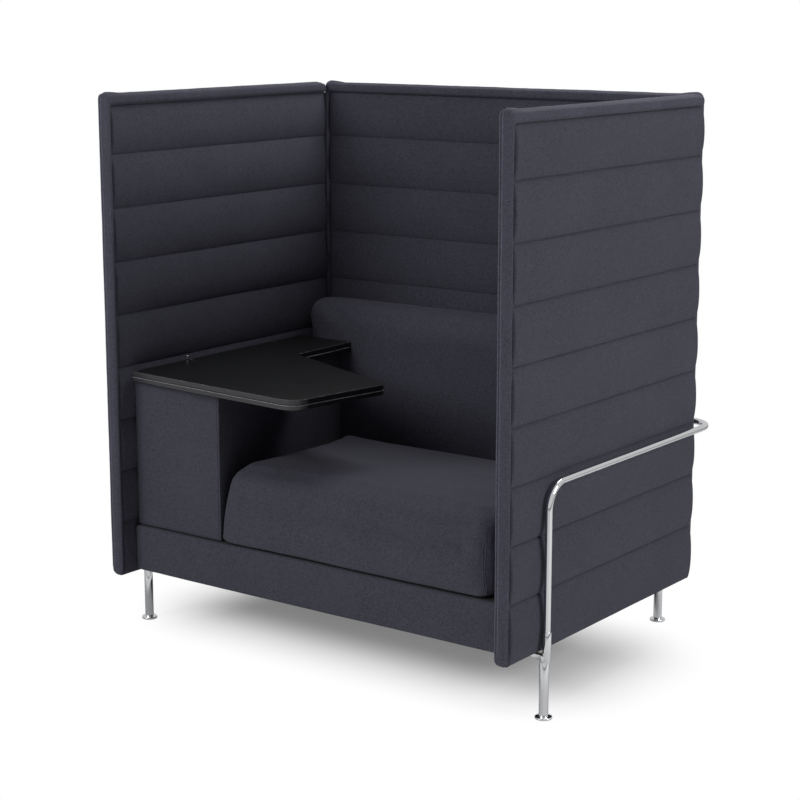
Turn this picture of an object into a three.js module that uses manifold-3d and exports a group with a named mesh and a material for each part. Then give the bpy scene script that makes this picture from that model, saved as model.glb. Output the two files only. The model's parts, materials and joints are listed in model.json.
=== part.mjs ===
// Acoustic high back lounge chair: three tall quilted panels round an upholstered seat,
// an arm box with a two-layer worktop on the left, and a bent steel rail on each side.
// Millimetres, +Z up, +Y to the back, +X to the right of someone who looks at its front.

import * as THREE from 'three';
import { mergeVertices } from 'three/addons/utils/BufferGeometryUtils.js';
import Module from 'manifold-3d';

const wasm = await Module();
wasm.setup();

// Panels
const total_height = 1365;
const panel_width = 1196;
const panel_depth = 889;
const back_panel_width = 1156;
const panel_bottom = 153;
const panel_thickness = 36;
const core_thickness = 9;
const top_roll_height = 32;
const front_roll_depth = 14;
const roll_corner_radius = 16;
const roll_foot_radius = 20;
const roll_rounding = 4;
const roll_sag = 4;
const roll_sag_run = 60;
const roll_end_run = 14;
const roll_end_drop = 27;
const channel_depth = 5;
const first_seam_drop = 150;
const channel_pitch = 132;
const touch_gap = 0.3;

// Corner zips
const zip_thickness = 3.4;
const zip_width = 17;
const zip_end_margin = 30;
const zip_proud = 1.5;
const slider_thickness = 4;
const slider_width = 10;
const slider_length = 16;
const slider_tab_width = 6;
const slider_tab_length = 26;
const slider_clearance = 1;

// Seat base
const base_set_back = 53;
const base_bottom = 162;
const base_top = 279;
const base_pad_thickness = 14;
const base_pad_rounding = 4;
const base_corner_radius = 12;
const rail_width = 30;
const rail_top = 268;
const webbing_width = 60;
const webbing_thickness = 3;
const webbing_count = 3;
const dust_cover_thickness = 1.2;

// Arm box
const arm_width = 280;
const arm_rear_width = 160;
const arm_set_back = 12;
const arm_back_gap = 16;
const arm_pad_thickness = 12;
const arm_board_thickness = 12;
const store_mouth_width = 112;
const store_mouth_margin = 26;
const store_mouth_rear_margin = 71;

// Worktop
const worktop_top = 677;
const leaf_thickness = 11.5;
const lower_board_thickness = 11.5;
const worktop_groove = 2;
const worktop_wall_gap = 5;
const worktop_front_set_back = 2;
const worktop_front_slant = 48;
const worktop_front_draw = 52;
const worktop_width = 611;
const worktop_front_depth = 292;
const worktop_neck_width = 186;
const worktop_back_gap = 5;
const worktop_neck_length = 232;
const worktop_front_radius = 46;
const worktop_rear_radius = 20;
const worktop_small_radius = 6;

// Worktop pivots
const pivot_front_margin = 248;
const pivot_rear_margin = 134;
const post_radius = 3.6;
const post_height = 25;
const post_head_radius = 5;
const post_head_height = 3;
const post_low_height = 10.5;
const pivot_pin_radius = 1.6;
const pivot_pin_length = 34;
const notch_width = 11.5;
const notch_depth = 27;
const post_seat_thickness = 1.6;
const bumper_radius = 6;
const bumper_margin = 70;

// Cushions
const seat_front_height = 476;
const seat_rear_height = 416;
const seat_crown = 12;
const seat_top_radius = 46;
const seat_rear_radius = 20;
const seat_bottom_radius = 16;
const seat_front_proud = 2;
const seat_side_gap = 14;
const seat_corner_draw = 44;
const seat_corner_run = 150;
const back_cushion_thickness = 139;
const back_cushion_top = 800;
const back_cushion_crown = 10;
const back_cushion_radius = 55;
const cushion_gap = 1;

// Side rails, brackets and legs
const tube_radius = 8;
const tube_wall_gap = 7;
const tube_height = 542;
const tube_front_bend = 60;
const tube_rear_bend = 60;
const rear_run_gap = 21;
const leg_set_back = 143;
const rear_leg_inset = 140;
const sleeve_radius = 10;
const sleeve_top = 205;
const bracket_bottom = 135;
const bracket_thickness = 16;
const bracket_under_panel = 3;
const bracket_pad_length = 46;
const bracket_pad_thickness = 15.7;
const bracket_shoulder = 2;
const bore_clearance = 0.3;
const tube_insertion = 49.7;
const leg_radius = 11;
const leg_offset = 6;
const stud_radius = 5;
const stud_length = 13;
const bolt_radius = 4;
const bolt_head_radius = 6.5;
const bolt_head_height = 5;
const bolt_reach = 22;
const glide_radius = 20;
const glide_rim_height = 4;
const glide_rim_chamfer = 1.5;
const glide_height = 7.5;
const glide_neck_radius = 11;
const glide_stem_radius = 4;
const glide_stem_length = 34;

const cut_overrun = 2;
const round_sides = 14;
const small_sides = 10;

// How far the quilting swells at each share of a channel's height
const crown_shares = [[0, 0], [0.08, 0.45], [0.22, 0.8], [0.5, 1], [0.78, 0.8], [0.92, 0.45]];

// Places that several pieces share
const half_width = panel_width / 2;
const back_half_width = back_panel_width / 2;
const side_inner = half_width - panel_thickness;
const front_edge = -panel_depth / 2;
const rear_face = panel_depth / 2;
const back_inner = rear_face - panel_thickness;
const side_rear = back_inner - zip_thickness - 2 * touch_gap;
const roll_bottom = total_height - top_roll_height;
const pad_top = roll_bottom - touch_gap;
const core_side = core_thickness / 2;
const crest = panel_thickness / 2;

const base_front = front_edge + base_set_back;
const base_rear = back_inner - touch_gap;
const base_side = side_inner - touch_gap;
const frame_front = base_front + base_pad_thickness + touch_gap;
const frame_rear = base_rear - base_pad_thickness - touch_gap;
const frame_side = base_side - base_pad_thickness - touch_gap;
const rail_bottom = base_bottom + dust_cover_thickness + touch_gap;
const webbing_bottom = rail_top + touch_gap;
const deck_bottom = webbing_bottom + webbing_thickness + touch_gap;
const on_base = base_top + touch_gap;

const cushion_front = back_inner - touch_gap - back_cushion_thickness;

const arm_outer = -side_inner + touch_gap;
const arm_inner = arm_outer + arm_width;
const arm_front = base_front + arm_set_back;
const arm_rear = cushion_front - arm_back_gap;
const arm_taper = (arm_width - arm_rear_width) / (arm_rear - arm_front);

const board_left = -side_inner + worktop_wall_gap;
const board_front = front_edge + worktop_front_set_back;
const board_rear = cushion_front - worktop_back_gap;
const leaf_bottom = worktop_top - leaf_thickness;
const lower_board_top = leaf_bottom - worktop_groove;
const lower_board_bottom = lower_board_top - lower_board_thickness;
const arm_top = lower_board_bottom - touch_gap;
const pivot_x = board_left + leaf_thickness / 2;
const pivot_z = leaf_bottom + leaf_thickness / 2;
const pivot_places = [board_front + pivot_front_margin, board_rear - pivot_rear_margin];

const tube_x = half_width + tube_wall_gap + tube_radius;
const tube_front = front_edge + leg_set_back;
const tube_rear = rear_face + rear_run_gap + tube_radius;
const rear_leg_x = tube_x - rear_leg_inset;
const tube_end = sleeve_top - tube_insertion;
const leg_top = bracket_bottom - touch_gap;
const front_arm_reach = tube_x - side_inner;
const rear_arm_reach = tube_rear - back_inner;
const bolt_past_panel = 2 * touch_gap + base_pad_thickness + rail_width / 2;
const bracket_pad_top = base_bottom - touch_gap;
const bracket_pad_bottom = bracket_pad_top - bracket_pad_thickness;

// The object's box runs from the side panels' front edge to the rear glides
const rear_reach = tube_rear - leg_offset + glide_radius;

const chair = new THREE.Group();
chair.position.y = -(front_edge + rear_reach) / 2;

// Finishes
const finishes = {
  fabric: { color: 0x3f3f49, roughness: 0.95, metalness: 0 },
  border: { color: 0x44444f, roughness: 0.95, metalness: 0 },
  core: { color: 0x8c7f6c, roughness: 0.85, metalness: 0 },
  plywood: { color: 0xb89a6c, roughness: 0.7, metalness: 0 },
  webbing: { color: 0x1d1d1f, roughness: 0.9, metalness: 0 },
  lining: { color: 0x18181a, roughness: 0.95, metalness: 0 },
  worktop: { color: 0x17181a, roughness: 0.45, metalness: 0 },
  chrome: { color: 0xc9cbce, roughness: 0.12, metalness: 1 },
  steel: { color: 0x6b6e73, roughness: 0.4, metalness: 1 },
  zip: { color: 0x24242a, roughness: 0.6, metalness: 0 },
};

function addPiece(name, geometry, finish) {
  const mesh = new THREE.Mesh(geometry, new THREE.MeshStandardMaterial(finishes[finish]));
  mesh.name = name;
  chair.add(mesh);
  return mesh;
}

// Shapes
function boxBetween(low, high) {
  const [x0, y0, z0] = low;
  const [x1, y1, z1] = high;
  const box = new THREE.BoxGeometry(x1 - x0, y1 - y0, z1 - z0);
  return box.translate((x0 + x1) / 2, (y0 + y1) / 2, (z0 + z1) / 2);
}

function uprightRod(radius, x, y, bottom, top, sides = round_sides) {
  const rod = new THREE.CylinderGeometry(radius, radius, top - bottom, sides);
  return rod.rotateX(Math.PI / 2).translate(x, y, (bottom + top) / 2);
}

function levelRod(radius, x, z, front, rear, sides = small_sides) {
  const rod = new THREE.CylinderGeometry(radius, radius, rear - front, sides);
  return rod.translate(x, (front + rear) / 2, z);
}

function extrude(shape, thickness, rounding = 0) {
  return new THREE.ExtrudeGeometry(shape, {
    depth: thickness - 2 * rounding,
    bevelEnabled: rounding > 0,
    bevelThickness: rounding,
    bevelSize: rounding,
    bevelOffset: -rounding,
    bevelSegments: 2,
    curveSegments: 4,
    steps: 1,
  }).translate(0, 0, rounding);
}

// An outline in the Y and Z directions, thickened from one X place to another
function thickenAlongX(shape, from, to, rounding) {
  const turn = new THREE.Matrix4().makeBasis(
    new THREE.Vector3(0, 1, 0), new THREE.Vector3(0, 0, 1), new THREE.Vector3(1, 0, 0),
  );
  return extrude(shape, to - from, rounding).applyMatrix4(turn).translate(from, 0, 0);
}

// An outline in the X and Z directions, thickened from one Y place to another
function thickenAlongY(shape, from, to, rounding) {
  return extrude(shape, to - from, rounding).rotateX(Math.PI / 2).translate(0, to, 0);
}

function thickenAlongZ(shape, from, to, rounding) {
  return extrude(shape, to - from, rounding).translate(0, 0, from);
}

function outline(points) {
  return new THREE.Shape(points.map(([x, y]) => new THREE.Vector2(x, y)));
}

// An outline through corners, each with its own radius
function roundedOutline(corners) {
  const shape = new THREE.Shape();
  corners.forEach(([x, y, radius], i) => {
    const here = new THREE.Vector2(x, y);
    const [bx, by] = corners[(i + corners.length - 1) % corners.length];
    const [nx, ny] = corners[(i + 1) % corners.length];
    const before = new THREE.Vector2(bx, by).sub(here).setLength(radius).add(here);
    const after = new THREE.Vector2(nx, ny).sub(here).setLength(radius).add(here);
    if (i === 0) shape.moveTo(before.x, before.y);
    else shape.lineTo(before.x, before.y);
    shape.quadraticCurveTo(x, y, after.x, after.y);
  });
  shape.closePath();
  return shape;
}

// Cutting and joining
function toSolid(geometry) {
  const bare = geometry.clone();
  bare.deleteAttribute('normal');
  bare.deleteAttribute('uv');
  const merged = mergeVertices(bare);
  return new wasm.Manifold(new wasm.Mesh({
    numProp: 3,
    vertProperties: new Float32Array(merged.attributes.position.array),
    triVerts: new Uint32Array(merged.index.array),
  }));
}

function fromSolid(solid) {
  const mesh = solid.getMesh();
  const geometry = new THREE.BufferGeometry();
  geometry.setAttribute('position', new THREE.BufferAttribute(new Float32Array(mesh.vertProperties), 3));
  geometry.setIndex(new THREE.BufferAttribute(new Uint32Array(mesh.triVerts), 1));
  geometry.computeVertexNormals();
  return geometry;
}

function cut(body, ...tools) {
  return fromSolid(tools.reduce((left, tool) => left.subtract(toSolid(tool)), toSolid(body)));
}

function join(first, ...others) {
  return fromSolid(others.reduce((sum, other) => sum.add(toSolid(other)), toSolid(first)));
}

// A quilted pad's profile: across the panel it swells in each channel between two sewn seams
function quiltProfile(panel_middle, facing) {
  const seams = [pad_top];
  const least_height = channel_pitch / 2;
  for (let z = total_height - first_seam_drop; z > panel_bottom + least_height; z -= channel_pitch) {
    seams.unshift(z);
  }
  seams.unshift(panel_bottom);
  const back = panel_middle + facing * (core_side + touch_gap);
  const valley = crest - channel_depth;
  const points = [[back, panel_bottom]];
  for (let i = 0; i + 1 < seams.length; i += 1) {
    const channel_height = seams[i + 1] - seams[i];
    crown_shares.forEach(([height_share, swell_share]) => {
      const out = valley + channel_depth * swell_share;
      points.push([panel_middle + facing * out, seams[i] + channel_height * height_share]);
    });
  }
  points.push([panel_middle + facing * valley, pad_top]);
  points.push([back, pad_top]);
  return outline(points);
}

// Side panels
const roll_inner_front = front_edge + front_roll_depth;

function sideRollOutline() {
  const top = total_height;
  const shape = new THREE.Shape();
  shape.moveTo(roll_inner_front, roll_bottom);
  shape.lineTo(side_rear, roll_bottom);
  shape.lineTo(side_rear, top - roll_end_drop);
  shape.quadraticCurveTo(side_rear, top - roll_sag, side_rear - roll_end_run, top - roll_sag);
  shape.lineTo(front_edge + roll_sag_run, top - roll_sag);
  shape.quadraticCurveTo(front_edge + roll_sag_run / 2, top, front_edge + roll_corner_radius, top);
  shape.quadraticCurveTo(front_edge, top, front_edge, top - roll_corner_radius);
  shape.lineTo(front_edge, panel_bottom + roll_foot_radius);
  shape.quadraticCurveTo(front_edge, panel_bottom, roll_inner_front, panel_bottom);
  return shape;
}

function addSidePanel(side, name) {
  const middle = side * (side_inner + panel_thickness / 2);
  const pad_front = roll_inner_front + touch_gap;
  const core = boxBetween(
    [middle - core_side, pad_front, panel_bottom],
    [middle + core_side, side_rear, pad_top],
  );
  addPiece(`${name}_panel_core`, core, 'core');
  const inner = quiltProfile(middle, -side);
  addPiece(`${name}_panel_inner_pad`, thickenAlongY(inner, pad_front, side_rear), 'fabric');
  const outer = quiltProfile(middle, side);
  addPiece(`${name}_panel_outer_pad`, thickenAlongY(outer, pad_front, side_rear), 'fabric');
  const roll = thickenAlongX(sideRollOutline(), middle - crest, middle + crest, roll_rounding);
  addPiece(`${name}_panel_edge_roll`, roll, 'border');
}

// Back panel, behind the ends of the side panels, with its roll down both ends
function backRollOutline() {
  const top = total_height;
  const inner = back_half_width - front_roll_depth;
  const shape = new THREE.Shape();
  shape.moveTo(inner, roll_bottom);
  shape.lineTo(-inner, roll_bottom);
  shape.lineTo(-inner, panel_bottom);
  shape.quadraticCurveTo(-back_half_width, panel_bottom, -back_half_width, panel_bottom + roll_foot_radius);
  shape.lineTo(-back_half_width, top - roll_end_drop);
  shape.quadraticCurveTo(-back_half_width, top, -back_half_width + roll_end_run, top);
  const level_end = back_half_width - roll_sag_run;
  shape.quadraticCurveTo(-back_half_width + roll_sag_run / 2, top, -level_end, top - roll_sag);
  shape.lineTo(level_end, top - roll_sag);
  shape.quadraticCurveTo(back_half_width - roll_sag_run / 2, top, back_half_width - roll_end_run, top);
  shape.quadraticCurveTo(back_half_width, top, back_half_width, top - roll_end_drop);
  shape.lineTo(back_half_width, panel_bottom + roll_foot_radius);
  shape.quadraticCurveTo(back_half_width, panel_bottom, inner, panel_bottom);
  return shape;
}

function addBackPanel() {
  const middle = back_inner + panel_thickness / 2;
  const end = back_half_width - front_roll_depth - touch_gap;
  const core = boxBetween(
    [-end, middle - core_side, panel_bottom],
    [end, middle + core_side, pad_top],
  );
  addPiece('back_panel_core', core, 'core');
  addPiece('back_panel_inner_pad', thickenAlongX(quiltProfile(middle, -1), -end, end), 'fabric');
  addPiece('back_panel_outer_pad', thickenAlongX(quiltProfile(middle, 1), -end, end), 'fabric');
  const roll = thickenAlongY(backRollOutline(), middle - crest, middle + crest, roll_rounding);
  addPiece('back_panel_edge_roll', roll, 'border');
}

// Corner zips: a chain in the groove between side and back panel, and a slider with its tab
const zip_outer = back_half_width + zip_proud;
const zip_front = side_rear + touch_gap;
const zip_rear = back_inner - touch_gap;
const slider_bottom = panel_bottom + zip_end_margin;

function addCornerZip(side, name) {
  const chain_x = [side * zip_outer, side * (zip_outer - zip_width)].sort((a, b) => a - b);
  const chain = boxBetween(
    [chain_x[0], zip_front, panel_bottom + zip_end_margin / 2],
    [chain_x[1], zip_rear, roll_bottom - zip_end_margin / 2],
  );
  addPiece(`${name}_corner_zip`, chain, 'zip');
  const centre = side_rear + slider_clearance + slider_width / 2;
  const half = slider_width / 2;
  const tab_half = slider_tab_width / 2;
  const slider = outline([
    [centre - tab_half, slider_bottom - slider_tab_length],
    [centre + tab_half, slider_bottom - slider_tab_length],
    [centre + tab_half, slider_bottom],
    [centre + half, slider_bottom],
    [centre + half, slider_bottom + slider_length],
    [centre - half, slider_bottom + slider_length],
    [centre - half, slider_bottom],
    [centre - tab_half, slider_bottom],
  ]);
  const near = zip_outer + touch_gap;
  const from = side > 0 ? near : -near - slider_thickness;
  addPiece(`${name}_zip_slider`, thickenAlongX(slider, from, from + slider_thickness), 'steel');
}

// Seat base: a frame of four rails, webbing and a deck, with padded faces and a dust cover
function boltHole(x, y) {
  return uprightRod(bolt_radius + bore_clearance, x, y, base_bottom - cut_overrun,
    rail_bottom + bolt_reach + cut_overrun, small_sides);
}

const front_bolt_x = side_inner - bolt_past_panel;
const rear_bolt_y = back_inner - bolt_past_panel;
const bolt_places = [
  [front_bolt_x, tube_front],
  [-front_bolt_x, tube_front],
  [rear_leg_x, rear_bolt_y],
  [-rear_leg_x, rear_bolt_y],
];

function addBaseFrame() {
  const inside_front = frame_front + rail_width;
  const inside_rear = frame_rear - rail_width;
  const inside = frame_side - rail_width;
  const front = boxBetween([-frame_side, frame_front, rail_bottom], [frame_side, inside_front, rail_top]);
  addPiece('base_front_rail', front, 'plywood');
  const rear = boxBetween([-frame_side, inside_rear, rail_bottom], [frame_side, frame_rear, rail_top]);
  addPiece('base_rear_rail', cut(rear, boltHole(...bolt_places[2]), boltHole(...bolt_places[3])), 'plywood');
  const side_front = inside_front + touch_gap;
  const side_end = inside_rear - touch_gap;
  const right = boxBetween([inside, side_front, rail_bottom], [frame_side, side_end, rail_top]);
  addPiece('base_right_rail', cut(right, boltHole(...bolt_places[0])), 'plywood');
  const left = boxBetween([-frame_side, side_front, rail_bottom], [-inside, side_end, rail_top]);
  addPiece('base_left_rail', cut(left, boltHole(...bolt_places[1])), 'plywood');

  const free_run = inside_rear - inside_front;
  for (let i = 0; i < webbing_count; i += 1) {
    const middle = inside_front + free_run * (i + 1) / (webbing_count + 1);
    const strap = boxBetween(
      [-frame_side, middle - webbing_width / 2, webbing_bottom],
      [frame_side, middle + webbing_width / 2, webbing_bottom + webbing_thickness],
    );
    addPiece(`seat_webbing_${i + 1}`, strap, 'webbing');
  }

  const deck = boxBetween([-frame_side, frame_front, deck_bottom], [frame_side, frame_rear, base_top]);
  addPiece('seat_deck', deck, 'lining');
  const cover = boxBetween(
    [-frame_side, frame_front, base_bottom],
    [frame_side, frame_rear, base_bottom + dust_cover_thickness],
  );
  addPiece('base_dust_cover', cut(cover, ...bolt_places.map(([x, y]) => boltHole(x, y))), 'lining');
}

function addBasePads() {
  const r = base_corner_radius;
  const face = roundedOutline([
    [-base_side, base_bottom, r],
    [base_side, base_bottom, r],
    [base_side, base_top, r / 2],
    [-base_side, base_top, r / 2],
  ]);
  const front_back = base_front + base_pad_thickness;
  const rear_front = base_rear - base_pad_thickness;
  addPiece('base_front_pad', thickenAlongY(face, base_front, front_back, base_pad_rounding), 'fabric');
  const rear = boxBetween([-base_side, rear_front, base_bottom], [base_side, base_rear, base_top]);
  addPiece('base_rear_pad', rear, 'fabric');
  for (const [side, name] of [[1, 'right'], [-1, 'left']]) {
    const xs = [side * base_side, side * (base_side - base_pad_thickness)].sort((a, b) => a - b);
    const pad = boxBetween(
      [xs[0], front_back + touch_gap, base_bottom],
      [xs[1], rear_front - touch_gap, base_top],
    );
    addPiece(`base_${name}_pad`, pad, 'fabric');
  }
}

// Arm box: an open plywood box under a padded cover, with a storage mouth below the worktop
const store_left = arm_outer + store_mouth_margin;
const store_front = arm_front + store_mouth_margin + arm_pad_thickness;

function storeMouth(bottom, top) {
  return boxBetween(
    [store_left, store_front, bottom],
    [store_left + store_mouth_width, board_rear - store_mouth_rear_margin, top],
  );
}

// The box narrows towards the back, so its seat side leans in by a share of each millimetre
function armInnerAt(y, inset) {
  return arm_inner - inset * Math.hypot(1, arm_taper) - arm_taper * (y - arm_front);
}

function armBlock(outer, front, rear, inset, bottom, top) {
  const plan = outline([
    [outer, front],
    [armInnerAt(front, inset), front],
    [armInnerAt(rear, inset), rear],
    [outer, rear],
  ]);
  return thickenAlongZ(plan, bottom, top);
}

function addArmBox() {
  const box_front = arm_front + arm_pad_thickness + touch_gap;
  const box_inset = arm_pad_thickness + touch_gap;
  const box_top = arm_top - arm_pad_thickness - touch_gap;
  const board = arm_board_thickness;
  const box = armBlock(arm_outer, box_front, arm_rear, box_inset, on_base, box_top);
  const hollow = armBlock(
    arm_outer + board, box_front + board, arm_rear - board, box_inset + board,
    on_base + board, box_top + cut_overrun,
  );
  addPiece('arm_box_carcass', cut(box, hollow), 'plywood');

  const blank = armBlock(arm_outer, arm_front, arm_rear, 0, on_base, arm_top);
  const room = armBlock(
    arm_outer - cut_overrun, arm_front + arm_pad_thickness, arm_rear + cut_overrun, arm_pad_thickness,
    on_base - cut_overrun, box_top + touch_gap,
  );
  addPiece('arm_box_cover', cut(blank, room, storeMouth(on_base, arm_top + cut_overrun)), 'fabric');
}

// Worktop: a lower board with the storage mouth, and a leaf of the same outline that lifts
function worktopOutline() {
  const right = board_left + worktop_width;
  const neck = board_left + worktop_neck_width;
  return roundedOutline([
    [board_left, board_front + worktop_front_slant, worktop_small_radius],
    [right - worktop_front_draw, board_front, worktop_front_radius],
    [right, board_front + worktop_front_depth, worktop_rear_radius],
    [neck, board_rear - worktop_neck_length, worktop_small_radius],
    [neck, board_rear, worktop_small_radius],
    [board_left, board_rear, worktop_small_radius],
  ]);
}

function pivotPin(y, slack) {
  const half = pivot_pin_length / 2 + slack;
  return levelRod(pivot_pin_radius + slack, pivot_x, pivot_z, y - half, y + half);
}

// The leaf's wall side is a half round about the pivots, so that it turns without reaching the panel
function leafEdgeWaste() {
  const radius = leaf_thickness / 2;
  const front = board_front - cut_overrun;
  const rear = board_rear + cut_overrun;
  const strip = boxBetween(
    [pivot_x - radius - cut_overrun, front, pivot_z - radius - cut_overrun],
    [pivot_x, rear, pivot_z + radius + cut_overrun],
  );
  return cut(strip, levelRod(radius, pivot_x, pivot_z, front - cut_overrun, rear + cut_overrun, round_sides));
}

function addWorktop() {
  const lower = thickenAlongZ(worktopOutline(), lower_board_bottom, lower_board_top);
  const mouth = storeMouth(lower_board_bottom - cut_overrun, lower_board_top + cut_overrun);
  addPiece('worktop_lower_board', cut(lower, mouth), 'worktop');

  const leaf = thickenAlongZ(worktopOutline(), leaf_bottom, worktop_top);
  const waste = [leafEdgeWaste()];
  pivot_places.forEach((y) => {
    waste.push(pivotPin(y, bore_clearance));
    waste.push(boxBetween(
      [board_left - cut_overrun, y - notch_width / 2, leaf_bottom - cut_overrun],
      [board_left + notch_depth, y + notch_width / 2, worktop_top + cut_overrun],
    ));
  });
  addPiece('worktop_leaf', cut(leaf, ...waste), 'worktop');

  // Two bumpers in the groove carry the closed leaf
  const seat = lower_board_top + touch_gap;
  const bumper_x = board_left + worktop_width - bumper_margin;
  const bumper_top = leaf_bottom - touch_gap;
  const front_bumper = uprightRod(bumper_radius, bumper_x, board_front + bumper_margin, seat, bumper_top);
  addPiece('worktop_bumper_front', front_bumper, 'webbing');
  const rear_bumper_y = board_front + worktop_front_depth - bumper_margin;
  const rear_bumper = uprightRod(bumper_radius, bumper_x, rear_bumper_y, seat, bumper_top);
  addPiece('worktop_bumper_rear', rear_bumper, 'webbing');

  pivot_places.forEach((y, i) => {
    const place = i === 0 ? 'front' : 'rear';
    const tall = i === 0;
    const top = seat + (tall ? post_height : post_low_height);
    const foot = uprightRod(post_head_radius, pivot_x, y, seat, seat + post_seat_thickness, round_sides);
    const stem = uprightRod(post_radius, pivot_x, y, seat, top, round_sides);
    const head = uprightRod(post_head_radius, pivot_x, y, top - post_head_height, top, round_sides);
    const post = tall ? join(foot, stem, head) : join(foot, stem);
    addPiece(`pivot_post_${place}`, cut(post, pivotPin(y, bore_clearance)), tall ? 'chrome' : 'steel');
    addPiece(`pivot_pin_${place}`, pivotPin(y, 0), 'steel');
  });
}

// Cushions: a box with rounded edges, finer near them, then crowned
function roundedCushion(low, high, counts, radiusAt) {
  const geometry = new THREE.BoxGeometry(1, 1, 1, ...counts);
  const place = geometry.attributes.position;
  const centre = low.clone().add(high).multiplyScalar(1 / 2);
  const half = high.clone().sub(low).multiplyScalar(1 / 2);
  const nearEdges = (share) => Math.sign(share) * (1 - (1 - Math.abs(share)) ** 1.8);
  const point = new THREE.Vector3();
  for (let i = 0; i < place.count; i += 1) {
    const sx = nearEdges(place.getX(i) * 2);
    const sy = nearEdges(place.getY(i) * 2);
    const sz = nearEdges(place.getZ(i) * 2);
    const radius = radiusAt(sy, sz);
    point.set(sx * half.x, sy * half.y, sz * half.z);
    const core = point.clone().clamp(
      half.clone().negate().addScalar(radius),
      half.clone().subScalar(radius),
    );
    const out = point.clone().sub(core);
    if (out.lengthSq() > 0) out.setLength(radius);
    point.copy(core).add(out).add(centre);
    place.setXYZ(i, point.x, point.y, point.z);
  }
  return geometry;
}

function reshape(geometry, change) {
  const place = geometry.attributes.position;
  for (let i = 0; i < place.count; i += 1) {
    const [x, y, z] = change(place.getX(i), place.getY(i), place.getZ(i));
    place.setXYZ(i, x, y, z);
  }
  geometry.computeVertexNormals();
  return geometry;
}

const hump = (share) => 1 - Math.min(Math.abs(share), 1) ** 2;

function addSeatCushion() {
  const left = arm_inner + touch_gap;
  const right = side_inner - seat_side_gap;
  const front = base_front - seat_front_proud;
  const rear = cushion_front - back_cushion_crown - cushion_gap;
  const low = new THREE.Vector3(left, front, on_base);
  const high = new THREE.Vector3(right, rear, seat_front_height);
  const blank = roundedCushion(low, high, [10, 10, 4], (sy, sz) => {
    const top = seat_top_radius + (seat_rear_radius - seat_top_radius) * (1 + sy) / 2;
    return seat_bottom_radius + (top - seat_bottom_radius) * (1 + sz) / 2;
  });
  const cushion = reshape(blank, (x, y, z) => {
    const up_share = (z - on_base) / (seat_front_height - on_base);
    const back_share = (y - front) / (rear - front);
    const across_share = (x - (left + right) / 2) / ((right - left) / 2);
    const fall = (seat_front_height - seat_rear_height) * back_share;
    const swell = seat_crown * hump(across_share) * hump(back_share * 2 - 1);
    const near_front_share = Math.max(0, 1 - (y - front) / seat_corner_run);
    const right_share = Math.max(0, across_share);
    const draw = seat_corner_draw * near_front_share ** 2 * right_share;
    const left_share = (1 - across_share) / 2;
    const spread = arm_taper * (y - arm_front) * left_share;
    return [x - draw - spread, y, z + up_share * (swell - fall)];
  });
  addPiece('seat_cushion', cushion, 'fabric');
}

function addBackCushion() {
  const side = side_inner - cushion_gap;
  const rear = back_inner - touch_gap;
  const low = new THREE.Vector3(-side, cushion_front, on_base);
  const high = new THREE.Vector3(side, rear, back_cushion_top);
  const blank = roundedCushion(low, high, [12, 4, 10], () => back_cushion_radius);
  const seen_left = arm_inner;
  const seen_middle = (seen_left + side) / 2;
  const cushion = reshape(blank, (x, y, z) => {
    const front_share = (rear - y) / (rear - cushion_front);
    const across_share = (x - seen_middle) / (side - seen_middle);
    const up_share = (z - on_base) / (back_cushion_top - on_base);
    const swell = back_cushion_crown * hump(across_share) * hump(up_share * 2 - 1);
    return [x, y - swell * front_share, z];
  });
  addPiece('back_cushion', cushion, 'fabric');
}

// A path for a bent tube: stations only at the ends of straight runs and along the bends
class BentPath extends THREE.Curve {
  constructor(corners, radii, bend_steps) {
    super();
    this.stations = [];
    corners.forEach((corner, i) => {
      if (i === 0 || i === corners.length - 1) {
        const next = i === 0 ? corners[1] : corners[i - 1];
        const along = next.clone().sub(corner).normalize().multiplyScalar(i === 0 ? 1 : -1);
        this.stations.push([corner, along]);
        return;
      }
      const into = corner.clone().sub(corners[i - 1]).normalize();
      const out = corners[i + 1].clone().sub(corner).normalize();
      const radius = radii[i - 1];
      const centre = corner.clone().addScaledVector(into, -radius).addScaledVector(out, radius);
      for (let k = 0; k <= bend_steps; k += 1) {
        const turn = (Math.PI / 2) * k / bend_steps;
        const at = centre.clone().addScaledVector(out, -radius * Math.cos(turn));
        at.addScaledVector(into, radius * Math.sin(turn));
        const along = into.clone().multiplyScalar(Math.cos(turn)).addScaledVector(out, Math.sin(turn));
        this.stations.push([at, along]);
      }
    });
  }

  station(share) {
    return this.stations[Math.round(share * (this.stations.length - 1))];
  }

  getPoint(share, target = new THREE.Vector3()) {
    return target.copy(this.station(share)[0]);
  }

  getPointAt(share, target = new THREE.Vector3()) {
    return this.getPoint(share, target);
  }

  getTangentAt(share, target = new THREE.Vector3()) {
    return target.copy(this.station(share)[1]).normalize();
  }
}

function circleShape(radius, sides) {
  const points = [];
  for (let i = 0; i < sides; i += 1) {
    const angle = (2 * Math.PI * i) / sides;
    points.push([radius * Math.cos(angle), radius * Math.sin(angle)]);
  }
  return outline(points);
}

// One rail on each side: up from the front bracket, back along the panel, round behind and down
function addSideRail(side, name) {
  const corners = [
    [side * tube_x, tube_front, tube_end],
    [side * tube_x, tube_front, tube_height],
    [side * tube_x, tube_rear, tube_height],
    [side * rear_leg_x, tube_rear, tube_height],
    [side * rear_leg_x, tube_rear, tube_end],
  ].map(([x, y, z]) => new THREE.Vector3(x, y, z));
  const path = new BentPath(corners, [tube_front_bend, tube_rear_bend, tube_rear_bend], 6);
  const tube = new THREE.ExtrudeGeometry(circleShape(tube_radius, small_sides), {
    steps: path.stations.length - 1,
    extrudePath: path,
  });
  addPiece(`${name}_side_rail`, tube, 'chrome');
}

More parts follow.
